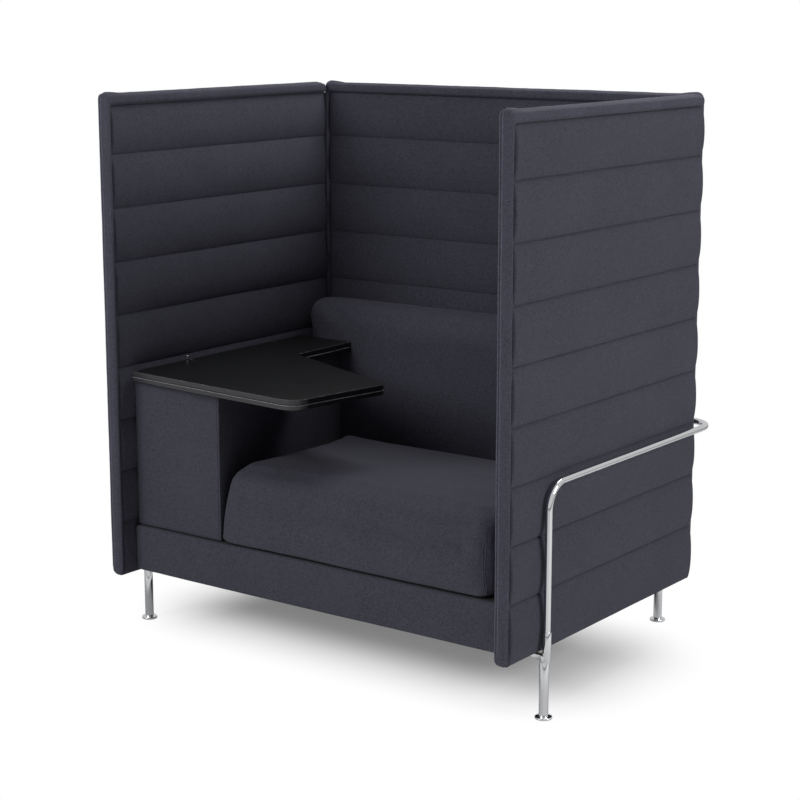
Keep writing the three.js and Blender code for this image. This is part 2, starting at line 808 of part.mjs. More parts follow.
// Brackets, in their own frame: the sleeve at the centre and the arm running to negative x
function bracketGeometry(reach) {
  const under_panel = panel_bottom - bracket_under_panel;
  const pad_start = -reach - touch_gap - bracket_shoulder;
  const pad_end = pad_start - bracket_pad_length;
  const block_end = -leg_offset - leg_radius;
  const profile = outline([
    [sleeve_radius / 2, bracket_bottom],
    [sleeve_radius / 2, under_panel],
    [pad_start + bracket_shoulder, under_panel],
    [pad_start, bracket_pad_top],
    [pad_end, bracket_pad_top],
    [pad_end, bracket_pad_bottom],
    [pad_start, bracket_pad_bottom],
    [block_end, bracket_bottom],
  ]);
  const arm = thickenAlongY(profile, -bracket_thickness / 2, bracket_thickness / 2);
  const block = uprightRod(leg_radius, -leg_offset, 0, bracket_bottom, under_panel);
  const sleeve = uprightRod(sleeve_radius, 0, 0, bracket_bottom, sleeve_top);
  const tube_bore = uprightRod(tube_radius + bore_clearance, 0, 0, tube_end - touch_gap,
    sleeve_top + cut_overrun);
  const stud_bore = uprightRod(stud_radius + bore_clearance, -leg_offset, 0,
    bracket_bottom - cut_overrun, leg_top + stud_length + touch_gap);
  const bolt_x = -reach - bolt_past_panel;
  const bolt_bore = uprightRod(bolt_radius + bore_clearance, bolt_x, 0,
    bracket_pad_bottom - cut_overrun, bracket_pad_top + cut_overrun, small_sides);
  return cut(join(arm, block, sleeve), tube_bore, stud_bore, bolt_bore);
}

function legGeometry() {
  const bottom = glide_height + touch_gap;
  const bore_top = glide_height + glide_stem_length + touch_gap;
  const bore = glide_stem_radius + bore_clearance;
  const profile = [
    [0, leg_top + stud_length],
    [stud_radius, leg_top + stud_length],
    [stud_radius, leg_top],
    [leg_radius, leg_top],
    [leg_radius, bottom],
    [bore, bottom],
    [bore, bore_top],
    [0, bore_top],
  ].map(([r, z]) => new THREE.Vector2(r, z)).reverse();
  return new THREE.LatheGeometry(profile, round_sides).rotateX(Math.PI / 2);
}

function glideGeometry() {
  const profile = [
    [0, 0],
    [glide_radius - glide_rim_chamfer, 0],
    [glide_radius, glide_rim_chamfer],
    [glide_radius, glide_rim_height],
    [glide_neck_radius, glide_height],
    [glide_stem_radius, glide_height],
    [glide_stem_radius, glide_height + glide_stem_length],
    [0, glide_height + glide_stem_length],
  ].map(([r, z]) => new THREE.Vector2(r, z));
  return new THREE.LatheGeometry(profile, round_sides + small_sides).rotateX(Math.PI / 2);
}

function boltGeometry(x) {
  const head_top = bracket_pad_bottom - touch_gap;
  const shank_bottom = head_top - bolt_head_height;
  const shank = uprightRod(bolt_radius, x, 0, shank_bottom, rail_bottom + bolt_reach, small_sides);
  const head = uprightRod(bolt_head_radius, x, 0, head_top - bolt_head_height, head_top, 6);
  return join(head, shank);
}

function addLeg(name, x, y, turn, reach) {
  const pieces = [
    [`${name}_bracket`, bracketGeometry(reach), 'chrome'],
    [`${name}_leg`, legGeometry().translate(-leg_offset, 0, 0), 'chrome'],
    [`${name}_glide`, glideGeometry().translate(-leg_offset, 0, 0), 'chrome'],
    [`${name}_bolt`, boltGeometry(-reach - bolt_past_panel), 'steel'],
  ];
  pieces.forEach(([piece, geometry, finish]) => {
    const mesh = addPiece(piece, geometry, finish);
    mesh.position.set(x, y, 0);
    mesh.rotation.z = turn;
  });
}

for (const [side, name] of [[-1, 'left'], [1, 'right']]) {
  addSidePanel(side, name);
  addCornerZip(side, name);
  addSideRail(side, name);
  const front_turn = side > 0 ? 0 : Math.PI;
  addLeg(`front_${name}`, side * tube_x, tube_front, front_turn, front_arm_reach);
  addLeg(`rear_${name}`, side * rear_leg_x, tube_rear, Math.PI / 2, rear_arm_reach);
}
addBackPanel();
addBaseFrame();
addBasePads();
addArmBox();
addWorktop();
addSeatCushion();
addBackCushion();

export default chair;
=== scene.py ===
"""Looks for an acoustic high back lounge chair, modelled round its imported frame."""

import json
import math

import bpy
import numpy as np
from bpy.props import FloatProperty, FloatVectorProperty, PointerProperty
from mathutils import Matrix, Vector, noise
from mathutils.bvhtree import BVHTree


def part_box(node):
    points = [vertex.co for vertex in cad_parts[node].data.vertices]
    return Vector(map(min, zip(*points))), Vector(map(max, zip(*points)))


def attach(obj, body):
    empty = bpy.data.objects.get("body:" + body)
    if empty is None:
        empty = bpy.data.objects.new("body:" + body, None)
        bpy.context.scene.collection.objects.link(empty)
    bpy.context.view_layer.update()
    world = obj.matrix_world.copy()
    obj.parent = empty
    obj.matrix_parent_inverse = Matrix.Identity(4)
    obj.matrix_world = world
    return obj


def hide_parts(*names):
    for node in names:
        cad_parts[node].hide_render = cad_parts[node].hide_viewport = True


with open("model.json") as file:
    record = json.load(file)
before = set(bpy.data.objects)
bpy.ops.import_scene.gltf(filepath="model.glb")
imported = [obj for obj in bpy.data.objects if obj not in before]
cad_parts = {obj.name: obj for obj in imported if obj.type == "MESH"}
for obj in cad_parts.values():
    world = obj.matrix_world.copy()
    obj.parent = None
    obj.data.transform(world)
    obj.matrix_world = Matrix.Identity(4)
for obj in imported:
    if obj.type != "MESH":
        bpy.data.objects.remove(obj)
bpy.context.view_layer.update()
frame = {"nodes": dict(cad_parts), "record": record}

bl_info = {
    "name": "High back lounge chair",
    "version": (1, 0, 0),
    "blender": (4, 5, 0),
    "location": "View3D > Sidebar > Lounge",
    "description": "Upholstery, worktop, chrome and stage of a high back lounge chair",
    "category": "Object",
}

MM = 0.001
SIDES = {"left": -1, "right": 1}
PANEL_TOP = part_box("right_panel_edge_roll")[1].z
# Edges flatter than the first angle are only triangulation, and padded covers are smooth up to the second
FLAT_ANGLE, SOFT_ANGLE = 0.6, 80


def srgb(code):
    """The linear colour of an sRGB hex code."""
    parts = [int(code[i:i + 2], 16) / 255 for i in (1, 3, 5)]
    return [c / 12.92 if c <= 0.04045 else ((c + 0.055) / 1.055) ** 2.4 for c in parts]


def shade(color, factor=1.0):
    """A linear colour, lighter or darker by a factor, with its alpha."""
    return [min(1.0, c * factor) for c in color[:3]] + [1.0]


# Settings that a user would change

class LoungeFabricSettings(bpy.types.PropertyGroup):
    cloth_color: FloatVectorProperty(
        name="Cloth", description="Colour of the felted wool", subtype="COLOR", default=srgb("#464651"))
    border_color: FloatVectorProperty(
        name="Border", description="Colour of the edge rolls", subtype="COLOR", default=srgb("#4a4a56"))
    lining_color: FloatVectorProperty(
        name="Lining", description="Colour of deck and dust cover", subtype="COLOR", default=srgb("#19191b"))
    first_seam_drop: FloatProperty(
        name="First seam", description="From the top of a panel to its first seam", unit="LENGTH",
        default=0.150)
    channel_pitch: FloatProperty(
        name="Channel pitch", description="Height of one quilted channel", unit="LENGTH", default=0.132)
    seam_depth: FloatProperty(
        name="Seam depth", description="How deep a seam draws the quilting in", unit="LENGTH",
        default=0.0090)
    piping_radius: FloatProperty(
        name="Piping", description="Radius of the sewn piping", unit="LENGTH", default=0.0020)
    thread_pitch: FloatProperty(
        name="Threads", description="Spacing of the wool's threads", unit="LENGTH", default=0.0021)


class LoungeWorktopSettings(bpy.types.PropertyGroup):
    top_color: FloatVectorProperty(
        name="Top", description="Colour of the matt laminate", subtype="COLOR", default=srgb("#0a0b0c"))
    edge_color: FloatVectorProperty(
        name="Edge", description="Colour of the boards' edges", subtype="COLOR", default=srgb("#303032"))
    edge_round: FloatProperty(
        name="Edge round", description="Rounding of the boards' edges", unit="LENGTH", default=0.0018)


class LoungeMetalSettings(bpy.types.PropertyGroup):
    chrome_color: FloatVectorProperty(
        name="Chrome", description="Colour of the chrome", subtype="COLOR", default=srgb("#e4e5e7"))
    steel_color: FloatVectorProperty(
        name="Steel", description="Colour of the plated steel", subtype="COLOR", default=srgb("#8b8e92"))
    front_bend: FloatProperty(
        name="Front bend", description="Bend of the rail above the front leg", unit="LENGTH", default=0.060)
    rear_bend: FloatProperty(
        name="Rear bend", description="Bends of the rail behind the back", unit="LENGTH", default=0.060)


class LoungeStageSettings(bpy.types.PropertyGroup):
    camera_place: FloatVectorProperty(
        name="Camera", description="Where the camera stands", subtype="XYZ",
        default=(2.7801, -3.8206, 1.5905))
    camera_yaw: FloatProperty(
        name="Yaw", description="Turn of the camera to its left", subtype="ANGLE",
        default=math.radians(36.35))
    camera_pitch: FloatProperty(
        name="Pitch", description="How far the camera looks down", subtype="ANGLE",
        default=math.radians(11.81))
    camera_lens: FloatProperty(
        name="Lens", description="Focal length in millimetres on a 36 mm sensor", default=86.8)
    sky_strength: FloatProperty(
        name="Sky", description="Light from all round", default=0.14)
    mirrored_sky: FloatProperty(
        name="Mirrored sky", description="How white the studio looks in the chrome", default=0.57)
    top_power: FloatProperty(
        name="Top", description="Power of the lamp overhead", default=33.0)
    side_power: FloatProperty(
        name="Side", description="Power of the lamp on the right", default=47.0)
    front_power: FloatProperty(
        name="Front", description="Power of the lamp in front", default=102.0)


SETTINGS = {
    "lounge_fabric": LoungeFabricSettings,
    "lounge_worktop": LoungeWorktopSettings,
    "lounge_metal": LoungeMetalSettings,
    "lounge_stage": LoungeStageSettings,
}


# Making and changing meshes

def pick(obj):
    """Selects one object alone and makes it the active one."""
    bpy.ops.object.select_all(action="DESELECT")
    obj.hide_set(False)
    obj.select_set(True)
    bpy.context.view_layer.objects.active = obj


def points_of(obj):
    """The vertices' places as an array."""
    flat = np.empty(len(obj.data.vertices) * 3)
    obj.data.vertices.foreach_get("co", flat)
    return flat.reshape(-1, 3)


def set_points(obj, points):
    """Moves the vertices to an array of places."""
    obj.data.vertices.foreach_set("co", np.ascontiguousarray(points, dtype=np.float32).ravel())
    obj.data.update()


def edit(obj, *steps):
    """Runs edit mode operators on the whole mesh, one after the other."""
    pick(obj)
    bpy.ops.object.mode_set(mode="EDIT")
    bpy.ops.mesh.select_all(action="SELECT")
    for step in steps:
        step()
    bpy.ops.object.mode_set(mode="OBJECT")


def close_and_turn_out(obj):
    """Merges doubles and points every face outwards."""
    edit(
        obj,
        lambda: bpy.ops.mesh.remove_doubles(threshold=0.02 * MM),
        lambda: bpy.ops.mesh.normals_make_consistent(inside=False),
    )


def modify(obj, kind, **values):
    """Adds one modifier with its values and applies it."""
    pick(obj)
    modifier = obj.modifiers.new(kind.lower(), kind)
    for name, value in values.items():
        setattr(modifier, name, value)
    bpy.ops.object.modifier_apply(modifier=modifier.name)


def subtract(obj, tool):
    """Cuts the tool's shape out of a piece, and deletes the tool."""
    modify(obj, "BOOLEAN", operation="DIFFERENCE", object=tool, solver="EXACT")
    bpy.data.objects.remove(tool)


def drop_flat_edges(obj):
    """Joins the triangles of each flat face."""
    edit(obj, lambda: bpy.ops.mesh.dissolve_limited(angle_limit=math.radians(FLAT_ANGLE)))


def soften_edges(obj, width, segments=2, angle=32):
    """Rounds the edges that are sharper than an angle in degrees."""
    modify(obj, "BEVEL", width=width, segments=segments, limit_method="ANGLE",
           angle_limit=math.radians(angle), harden_normals=False)


def smooth_shading(obj, angle=40):
    """Shades a piece smooth, apart from edges sharper than an angle in degrees."""
    pick(obj)
    bpy.ops.object.shade_smooth_by_angle(angle=math.radians(angle))


def place_mesh(obj):
    """Puts the object's place and turn into its mesh."""
    pick(obj)
    bpy.ops.object.transform_apply(location=True, rotation=True, scale=True)


def block(name, low, high):
    """A closed block between two corners, to be shaped further."""
    low, high = Vector(low), Vector(high)
    bpy.ops.object.select_all(action="DESELECT")
    bpy.ops.mesh.primitive_cube_add(size=1, location=(low + high) / 2)
    obj = bpy.context.object
    obj.name = name
    obj.scale = high - low
    place_mesh(obj)
    return obj


def turned(name, profile, place, sides):
    """A lathe-turned piece: rings of (radius, height) from the bottom up, closed at both ends."""
    (radius, height), rest = profile[0], profile[1:]
    bpy.ops.object.select_all(action="DESELECT")
    bpy.ops.mesh.primitive_circle_add(
        vertices=sides, radius=radius, fill_type="NGON", location=(place[0], place[1], height))
    obj = bpy.context.object
    obj.name = name
    place_mesh(obj)
    bpy.ops.object.mode_set(mode="EDIT")
    bpy.ops.mesh.select_all(action="SELECT")
    for next_radius, next_height in rest:
        bpy.ops.mesh.extrude_region_move(
            TRANSFORM_OT_translate={"value": (0, 0, next_height - height)})
        scale = next_radius / radius
        bpy.ops.transform.resize(value=(scale, scale, 1), center_override=(place[0], place[1], next_height))
        radius, height = next_radius, next_height
    bpy.ops.object.mode_set(mode="OBJECT")
    # The first disc stays behind when a flat face is extruded, and closes the foot
    edit(
        obj,
        lambda: bpy.ops.mesh.select_all(action="DESELECT"),
        lambda: bpy.ops.mesh.select_non_manifold(),
        lambda: bpy.ops.mesh.edge_face_add(),
        lambda: bpy.ops.mesh.select_all(action="SELECT"),
        lambda: bpy.ops.mesh.normals_make_consistent(inside=False),
    )
    return obj


def bent_path(corners, radii, steps):
    """Points along straight runs joined by round bends, each bend in a number of steps."""
    corners = [Vector(c) for c in corners]
    points = [corners[0]]
    for before, corner, after, radius in zip(corners, corners[1:], corners[2:], radii):
        into = (corner - before).normalized()
        out = (after - corner).normalized()
        half = into.angle(out) / 2
        start = corner - into * radius * math.tan(half)
        side = (out - into * into.dot(out)).normalized()
        centre = start + side * radius
        for i in range(steps + 1):
            turn = 2 * half * i / steps
            points.append(centre - side * radius * math.cos(turn) + into * radius * math.sin(turn))
    points.append(corners[-1])
    return points


def tube(name, points, radius, sides):
    """A round bar along a line of points, closed at both ends."""
    bpy.ops.object.select_all(action="DESELECT")
    bpy.ops.curve.primitive_nurbs_path_add()
    obj = bpy.context.object
    obj.name = name
    obj.location = (0, 0, 0)
    curve = obj.data
    curve.splines.clear()
    spline = curve.splines.new("POLY")
    spline.points.add(len(points) - 1)
    for spot, point in zip(spline.points, points):
        spot.co = (*point, 1)
    curve.bevel_depth = radius
    curve.bevel_resolution = (sides - 4) // 2
    curve.use_fill_caps = True
    curve.twist_mode = "MINIMUM"
    pick(obj)
    bpy.ops.object.convert(target="MESH")
    obj = bpy.context.object
    close_and_turn_out(obj)
    smooth_shading(obj)
    return obj


def copy_of(name, node):
    """A merged copy of a frame node's mesh, as the start of its finished piece."""
    source = frame["nodes"][node]
    obj = bpy.data.objects.new(name, source.data.copy())
    bpy.context.scene.collection.objects.link(obj)
    obj.data.materials.clear()
    close_and_turn_out(obj)
    return obj


def crisp_copy(name, node, width, segments, sharp, smooth):
    """A node's mesh with whole flat faces, its edges rounded above one angle and smooth below another."""
    obj = copy_of(name, node)
    drop_flat_edges(obj)
    soften_edges(obj, width, segments, sharp)
    smooth_shading(obj, smooth)
    return obj


def join_pieces(name, pieces):
    """Makes one piece of several."""
    bpy.ops.object.select_all(action="DESELECT")
    for piece in pieces:
        piece.select_set(True)
    bpy.context.view_layer.objects.active = pieces[0]
    bpy.ops.object.join()
    pieces[0].name = name
    return pieces[0]


def give_finish(obj, *finishes):
    """Puts named finishes on a piece in place of those it has."""
    obj.data.materials.clear()
    for finish in finishes:
        obj.data.materials.append(FINISHES[finish])


def finish_piece(obj, finish, body, nodes=()):
    """Gives a piece its finish, its body and the nodes that it stands for."""
    give_finish(obj, finish)
    join_frame(obj, body, nodes)


def join_frame(obj, body, nodes=()):
    """Ties a piece to its body, and hides the nodes that it replaces."""
    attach(obj, body)
    if nodes:
        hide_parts(*nodes)


# Padding

def wobble(points, spacing, seed):
    """Smooth noise from -1 to 1 at each point, with bumps a spacing apart."""
    shift = Vector((seed * 7.3, seed * 3.1, seed * 5.7))
    return np.array([noise.noise(Vector(p) / spacing + shift) for p in points])


def normals_of(obj):
    """The vertices' normals as an array."""
    flat = np.empty(len(obj.data.vertices) * 3)
    obj.data.vertices.foreach_get("normal", flat)
    return flat.reshape(-1, 3)


def ripple(obj, heights, spacings, seed):
    """Uneven padding: the surface moves along its normals by layers of noise."""
    points, normals = points_of(obj), normals_of(obj)
    moved = points.copy()
    for i, (height, spacing) in enumerate(zip(heights, spacings)):
        moved += normals * (height * wobble(points, spacing, seed + i))[:, None]
    set_points(obj, moved)


def inflate(obj, pressure, cap, held, low, high):
    """Cloth under inner pressure, with its movement capped, its held points fixed and its space kept."""
    frames = 20
    rest = points_of(obj)
    pick(obj)
    group = obj.vertex_groups.new(name="held")
    group.add([int(i) for i in np.flatnonzero(held)], 1.0, "REPLACE")
    cloth = obj.modifiers.new("cloth", "CLOTH")
    cloth.settings.use_pressure = True
    cloth.settings.uniform_pressure_force = pressure
    cloth.settings.effector_weights.gravity = 0
    cloth.settings.vertex_group_mass = "held"
    cloth.settings.quality = 4
    cloth.settings.tension_stiffness = 12
    cloth.settings.compression_stiffness = 12
    cloth.settings.bending_stiffness = 1.5
    cloth.collision_settings.use_collision = False
    cloth.point_cache.frame_start = 1
    cloth.point_cache.frame_end = frames
    for step in range(1, frames + 1):
        bpy.context.scene.frame_set(step)
    bpy.ops.object.modifier_apply(modifier="cloth")
    bpy.context.scene.frame_set(1)
    obj.vertex_groups.clear()
    moved = points_of(obj) - rest
    length = np.linalg.norm(moved, axis=1, keepdims=True)
    kept = rest + moved * np.minimum(1, cap / np.maximum(length, 1e-9))
    set_points(obj, np.clip(kept, np.array(low), np.array(high)))


# Finishes

def add(tree, kind, inputs=None, **settings):
    """Adds a node: settings are its own values, inputs are values or links for its sockets."""
    node = tree.nodes.new(kind)
    for name, value in settings.items():
        setattr(node, name, value)
    for name, value in (inputs or {}).items():
        socket = node.inputs[name]
        if isinstance(value, bpy.types.NodeSocket):
            tree.links.new(value, socket)
        else:
            socket.default_value = value
    return node


def new_finish(name, **values):
    """A material with its shader's own sockets set, and its node tree."""
    material = bpy.data.materials.new(name)
    material.use_nodes = True
    tree = material.node_tree
    shader = tree.nodes["Principled BSDF"]
    for socket, value in values.items():
        shader.inputs[socket.replace("_", " ")].default_value = value
    return material, tree, shader


def object_points(tree, scale):
    """Object coordinates in metres, scaled along each axis."""
    points = add(tree, "ShaderNodeTexCoord").outputs["Object"]
    return add(tree, "ShaderNodeMapping", {"Vector": points, "Scale": scale}).outputs["Vector"]


def grain(tree, spacing, stretch=(1, 1, 1), detail=2.0):
    """Noise with bumps a spacing apart in metres, drawn out along the axes whose stretch is small."""
    points = object_points(tree, [s / spacing for s in stretch])
    return add(tree, "ShaderNodeTexNoise", {"Vector": points, "Scale": 1.0, "Detail": detail}).outputs["Fac"]


def bands(tree, length, distortion, direction):
    """Soft bands, whose wave runs through one radian in a length in metres."""
    return add(tree, "ShaderNodeTexWave", {
        "Vector": object_points(tree, (1, 1, 1)), "Scale": 1 / (20 * length), "Distortion": distortion,
    }, wave_type="BANDS", bands_direction=direction).outputs["Fac"]


def mixed(tree, factor, first, second):
    """A colour between two: sockets 6 and 7 take the colours, and output 2 gives the result."""
    return add(tree, "ShaderNodeMix", {0: factor, 6: first, 7: second}, data_type="RGBA").outputs[2]


def blend_of(tree, dark, light, factor, low=0.3, high=0.7):
    """A colour between two, where the factor goes from low to high."""
    share = add(tree, "ShaderNodeMapRange", {"Value": factor, "From Min": low, "From Max": high})
    return mixed(tree, share.outputs["Result"], dark, light)


def total(tree, *values):
    """The mean of several factors."""
    result = values[0]
    for value in values[1:]:
        result = add(tree, "ShaderNodeMath", {0: result, 1: value}, operation="ADD").outputs[0]
    return add(tree, "ShaderNodeMath", {0: result, 1: float(len(values))}, operation="DIVIDE").outputs[0]


def raise_surface(tree, shader, height, distance, strength=0.6):
    """Gives the shader a bump of a height map, up to a distance high."""
    bump = add(tree, "ShaderNodeBump", {"Height": height, "Distance": distance, "Strength": strength})
    tree.links.new(bump.outputs["Normal"], shader.inputs["Normal"])


def felted_wool(name, color, pitch):
    """Fulled wool: matt and dense, its threads nearly hidden under a short nap with paler hairs in it.

    The threads are drawn at about twice their real spacing, or the render would not show them.
    """
    material, tree, shader = new_finish(name, Roughness=0.95, Specular_IOR_Level=0.2,
                                        Sheen_Weight=0.05, Sheen_Roughness=0.4)
    threads = total(tree, *[grain(tree, pitch, axes) for axes in ((0.5, 1, 1), (1, 0.5, 1), (1, 1, 0.5))])
    cloudy = grain(tree, 13 * MM, detail=3.0)
    worn = grain(tree, 140 * MM)
    fine = blend_of(tree, shade(color, 0.58), shade(color, 1.44), threads, 0.42, 0.58)
    patchy = blend_of(tree, shade(color, 0.87), shade(color, 1.13), total(tree, cloudy, worn), 0.38, 0.62)
    cloth = mixed(tree, 0.42, fine, patchy)
    hairs = grain(tree, 3.2 * MM, (0.5, 1, 1), detail=4.0)
    pale = add(tree, "ShaderNodeMapRange",
               {"Value": hairs, "From Min": 0.60, "From Max": 0.72, "To Max": 0.35}).outputs["Result"]
    tree.links.new(mixed(tree, pale, cloth, shade(color, 2.0)), shader.inputs["Base Color"])
    raise_surface(tree, shader, total(tree, threads, grain(tree, 4 * MM)), 0.8 * MM, 0.9)
    return material


def matt_laminate(name, color):
    """Soft-touch laminate: nearly black, with a fine even grain and a broad, weak shine."""
    material, tree, shader = new_finish(name, Roughness=0.42, IOR=1.4)
    speck = grain(tree, 0.7 * MM, detail=3.0)
    tree.links.new(blend_of(tree, shade(color, 0.8), shade(color, 1.2), speck), shader.inputs["Base Color"])
    hazy = grain(tree, 60 * MM)
    rough = add(tree, "ShaderNodeMapRange", {"Value": hazy, "To Min": 0.38, "To Max": 0.47})
    tree.links.new(rough.outputs["Result"], shader.inputs["Roughness"])
    raise_surface(tree, shader, speck, 0.05 * MM, 0.5)
    return material


def grained(name, dark, light, spacing, height, stretch=(1, 1, 1), detail=2.0, strength=0.6, **values):
    """A finish in two tones of one grain, which also raises the surface."""
    material, tree, shader = new_finish(name, **values)
    pattern = grain(tree, spacing, stretch, detail)
    tree.links.new(blend_of(tree, dark, light, pattern), shader.inputs["Base Color"])
    raise_surface(tree, shader, pattern, height, strength)
    return material


def board_edge(name, color):
    """Dyed board edge: dark grey fibres along the board, sanded and oiled; made lighter, the same grain
    gives the painted lit front edges and the painted rim highlight.
    """
    return grained(name, shade(color, 0.75), shade(color, 1.25), 1.1 * MM, 0.08 * MM,
                   stretch=(0.12, 0.12, 1), strength=0.5, Roughness=0.34, IOR=1.5)


def polished_chrome(name, color):
    """Chromed steel tube: a mirror with faint polishing haze."""
    material, tree, shader = new_finish(name, Metallic=1.0, Roughness=0.08)
    shader.inputs["Base Color"].default_value = shade(color)
    haze = grain(tree, 18 * MM, detail=4.0)
    rough = add(tree, "ShaderNodeMapRange", {"Value": haze, "To Min": 0.04, "To Max": 0.08})
    tree.links.new(rough.outputs["Result"], shader.inputs["Roughness"])
    raise_surface(tree, shader, grain(tree, 30 * MM), 0.04 * MM, 0.3)
    return material


def birch_plywood(name):
    """Birch plywood: pale veneers with fine figure, and darker glue lines between the plies."""
    material, tree, shader = new_finish(name, Roughness=0.62)
    pale, deep = srgb("#d3b88c"), srgb("#a98a5c")
    figure = grain(tree, 2 * MM, (0.05, 0.05, 1), detail=4.0)
    broad = grain(tree, 25 * MM, (0.2, 0.2, 1))
    plies = bands(tree, 1.4 * MM, 0.3, "DIAGONAL")
    color = blend_of(tree, shade(deep), shade(pale), total(tree, figure, broad, plies))
    tree.links.new(color, shader.inputs["Base Color"])
    raise_surface(tree, shader, figure, 0.1 * MM)
    return material


def woven_webbing(name):
    """Elastic seat webbing: flat black ribs with a grey thread."""
    material, tree, shader = new_finish(name, Roughness=0.8)
    height = total(tree, bands(tree, 3 * MM, 0.4, "Y"), bands(tree, 2 * MM, 0.4, "X"))
    color = blend_of(tree, shade(srgb("#141415")), shade(srgb("#3a3a3d")), height)
    tree.links.new(color, shader.inputs["Base Color"])
    raise_surface(tree, shader, height, 0.6 * MM)
    return material


def spunbond_lining(name, color):
    """Spunbonded lining: thin black fleece with a grid of pressed dots."""
    material, tree, shader = new_finish(name, Roughness=0.85)
    dots = add(tree, "ShaderNodeTexVoronoi", {
        "Vector": object_points(tree, (1, 1, 1)), "Scale": 1 / (2.4 * MM), "Randomness": 0.15,
    }).outputs["Distance"]
    fleece = blend_of(tree, shade(color, 0.7), shade(color, 1.8), dots, 0.1, 0.6)
    tree.links.new(fleece, shader.inputs["Base Color"])
    raise_surface(tree, shader, dots, 0.25 * MM)
    return material


FINISHES = {}


def make_finishes(scene):
    """Makes every finish from the user's colours."""
    fabric, worktop, metal = scene.lounge_fabric, scene.lounge_worktop, scene.lounge_metal
    FINISHES.update({
        "quilted_fabric": felted_wool("felted_wool_quilted", fabric.cloth_color, fabric.thread_pitch),
        "plain_fabric": felted_wool("felted_wool_plain", fabric.cloth_color, fabric.thread_pitch),
        "border_fabric": felted_wool("felted_wool_border", fabric.border_color, fabric.thread_pitch),
        # The piping is the border wool painted paler, as a highlight along its ridge
        "piping": felted_wool("felted_wool_piping_highlight", shade(fabric.border_color, 1.7), fabric.thread_pitch),
        "worktop": matt_laminate("matt_laminate", worktop.top_color),
        # The front edges' finish is the edge colour painted lighter, as lit; the boards' side edges keep the
        # near-black top finish as painted shade
        "worktop_lit_front_edge": board_edge("painted_lit_board_edge", shade(worktop.edge_color, 1.35)),
        # The rounded rims' finish is the edge colour made far paler: a painted highlight
        "worktop_rim_highlight": board_edge("painted_rim_highlight", shade(worktop.edge_color, 18.0)),
        "chrome": polished_chrome("polished_chrome", metal.chrome_color),
        # Zinc-plated steel: a grey metal with a dull, slightly spotty shine
        "steel": grained(
            "zinc_plated_steel", shade(metal.steel_color, 0.8), shade(metal.steel_color, 1.15),
            2.5 * MM, 0.04 * MM, detail=3.0, strength=0.4, Metallic=1.0, Roughness=0.36),
        "plywood": birch_plywood("birch_plywood"),
        # Pressed fibreboard: brown, speckled and slightly fluffy
        "panel_core": grained(
            "pressed_fibreboard", shade(srgb("#6f5f49")), shade(srgb("#9b8a6c")),
            1.6 * MM, 0.2 * MM, detail=4.0, Roughness=0.88),
        "webbing": woven_webbing("elastic_webbing"),
        "lining": spunbond_lining("spunbond_lining", fabric.lining_color),
        # Moulded rubber: black, matt, a little dusty
        "bumper": grained(
            "moulded_rubber", shade(srgb("#121212")), shade(srgb("#232323")),
            1.5 * MM, 0.05 * MM, Roughness=0.75, IOR=1.52),
        # Zip tape: tightly woven polyester beside the teeth
        "zip": grained(
            "woven_zip_tape", shade(srgb("#1d1d22")), shade(srgb("#34343b")),
            0.8 * MM, 0.2 * MM, stretch=(1, 1, 0.3), Roughness=0.85),
        # Zip teeth: injection-moulded acetal, dark and faintly glossy
        "zip_teeth": grained(
            "acetal_zip_teeth", shade(srgb("#1a1a1e")), shade(srgb("#2b2b31")),
            4 * MM, 0.03 * MM, Roughness=0.38, IOR=1.48),
    })


# Quilted panels

def seam_heights(settings, low, high):
    """A panel's seam heights, with the ends of its quilting."""
    heights = [low]
    first = PANEL_TOP - settings.first_seam_drop
    count = int((first - low) / settings.channel_pitch + 0.5)
    heights += [first - i * settings.channel_pitch for i in reversed(range(count))]
    return heights + [high]


def channel_swell(share, softness):
    """How full a channel is at a share of its height: drawn in at both seams, fullest below the middle."""
    middle = 0.44
    run = share / middle if share < middle else (1 - share) / (1 - middle)
    return (1 - (1 - run) ** 2) ** softness


def crowded(share, evenness):
    """Shares of a run, drawn together towards both of its ends."""
    return evenness * share + (1 - evenness) * (1 - np.cos(np.pi * share)) / 2


def grid_slab(name, columns, rows):
    """A slab of unit size: a grid of faces in front, and one face behind that lies on the panel's board."""
    bpy.ops.object.select_all(action="DESELECT")
    bpy.ops.mesh.primitive_grid_add(x_subdivisions=columns, y_subdivisions=rows, size=1)
    obj = bpy.context.object
    obj.name = name
    bpy.ops.object.mode_set(mode="EDIT")
    bpy.ops.mesh.select_all(action="SELECT")
    bpy.ops.mesh.extrude_region_move(TRANSFORM_OT_translate={"value": (0, 0, 1)})
    bpy.ops.mesh.select_all(action="DESELECT")
    bpy.ops.mesh.select_non_manifold()
    bpy.ops.mesh.edge_face_add()
    bpy.ops.object.mode_set(mode="OBJECT")
    return obj


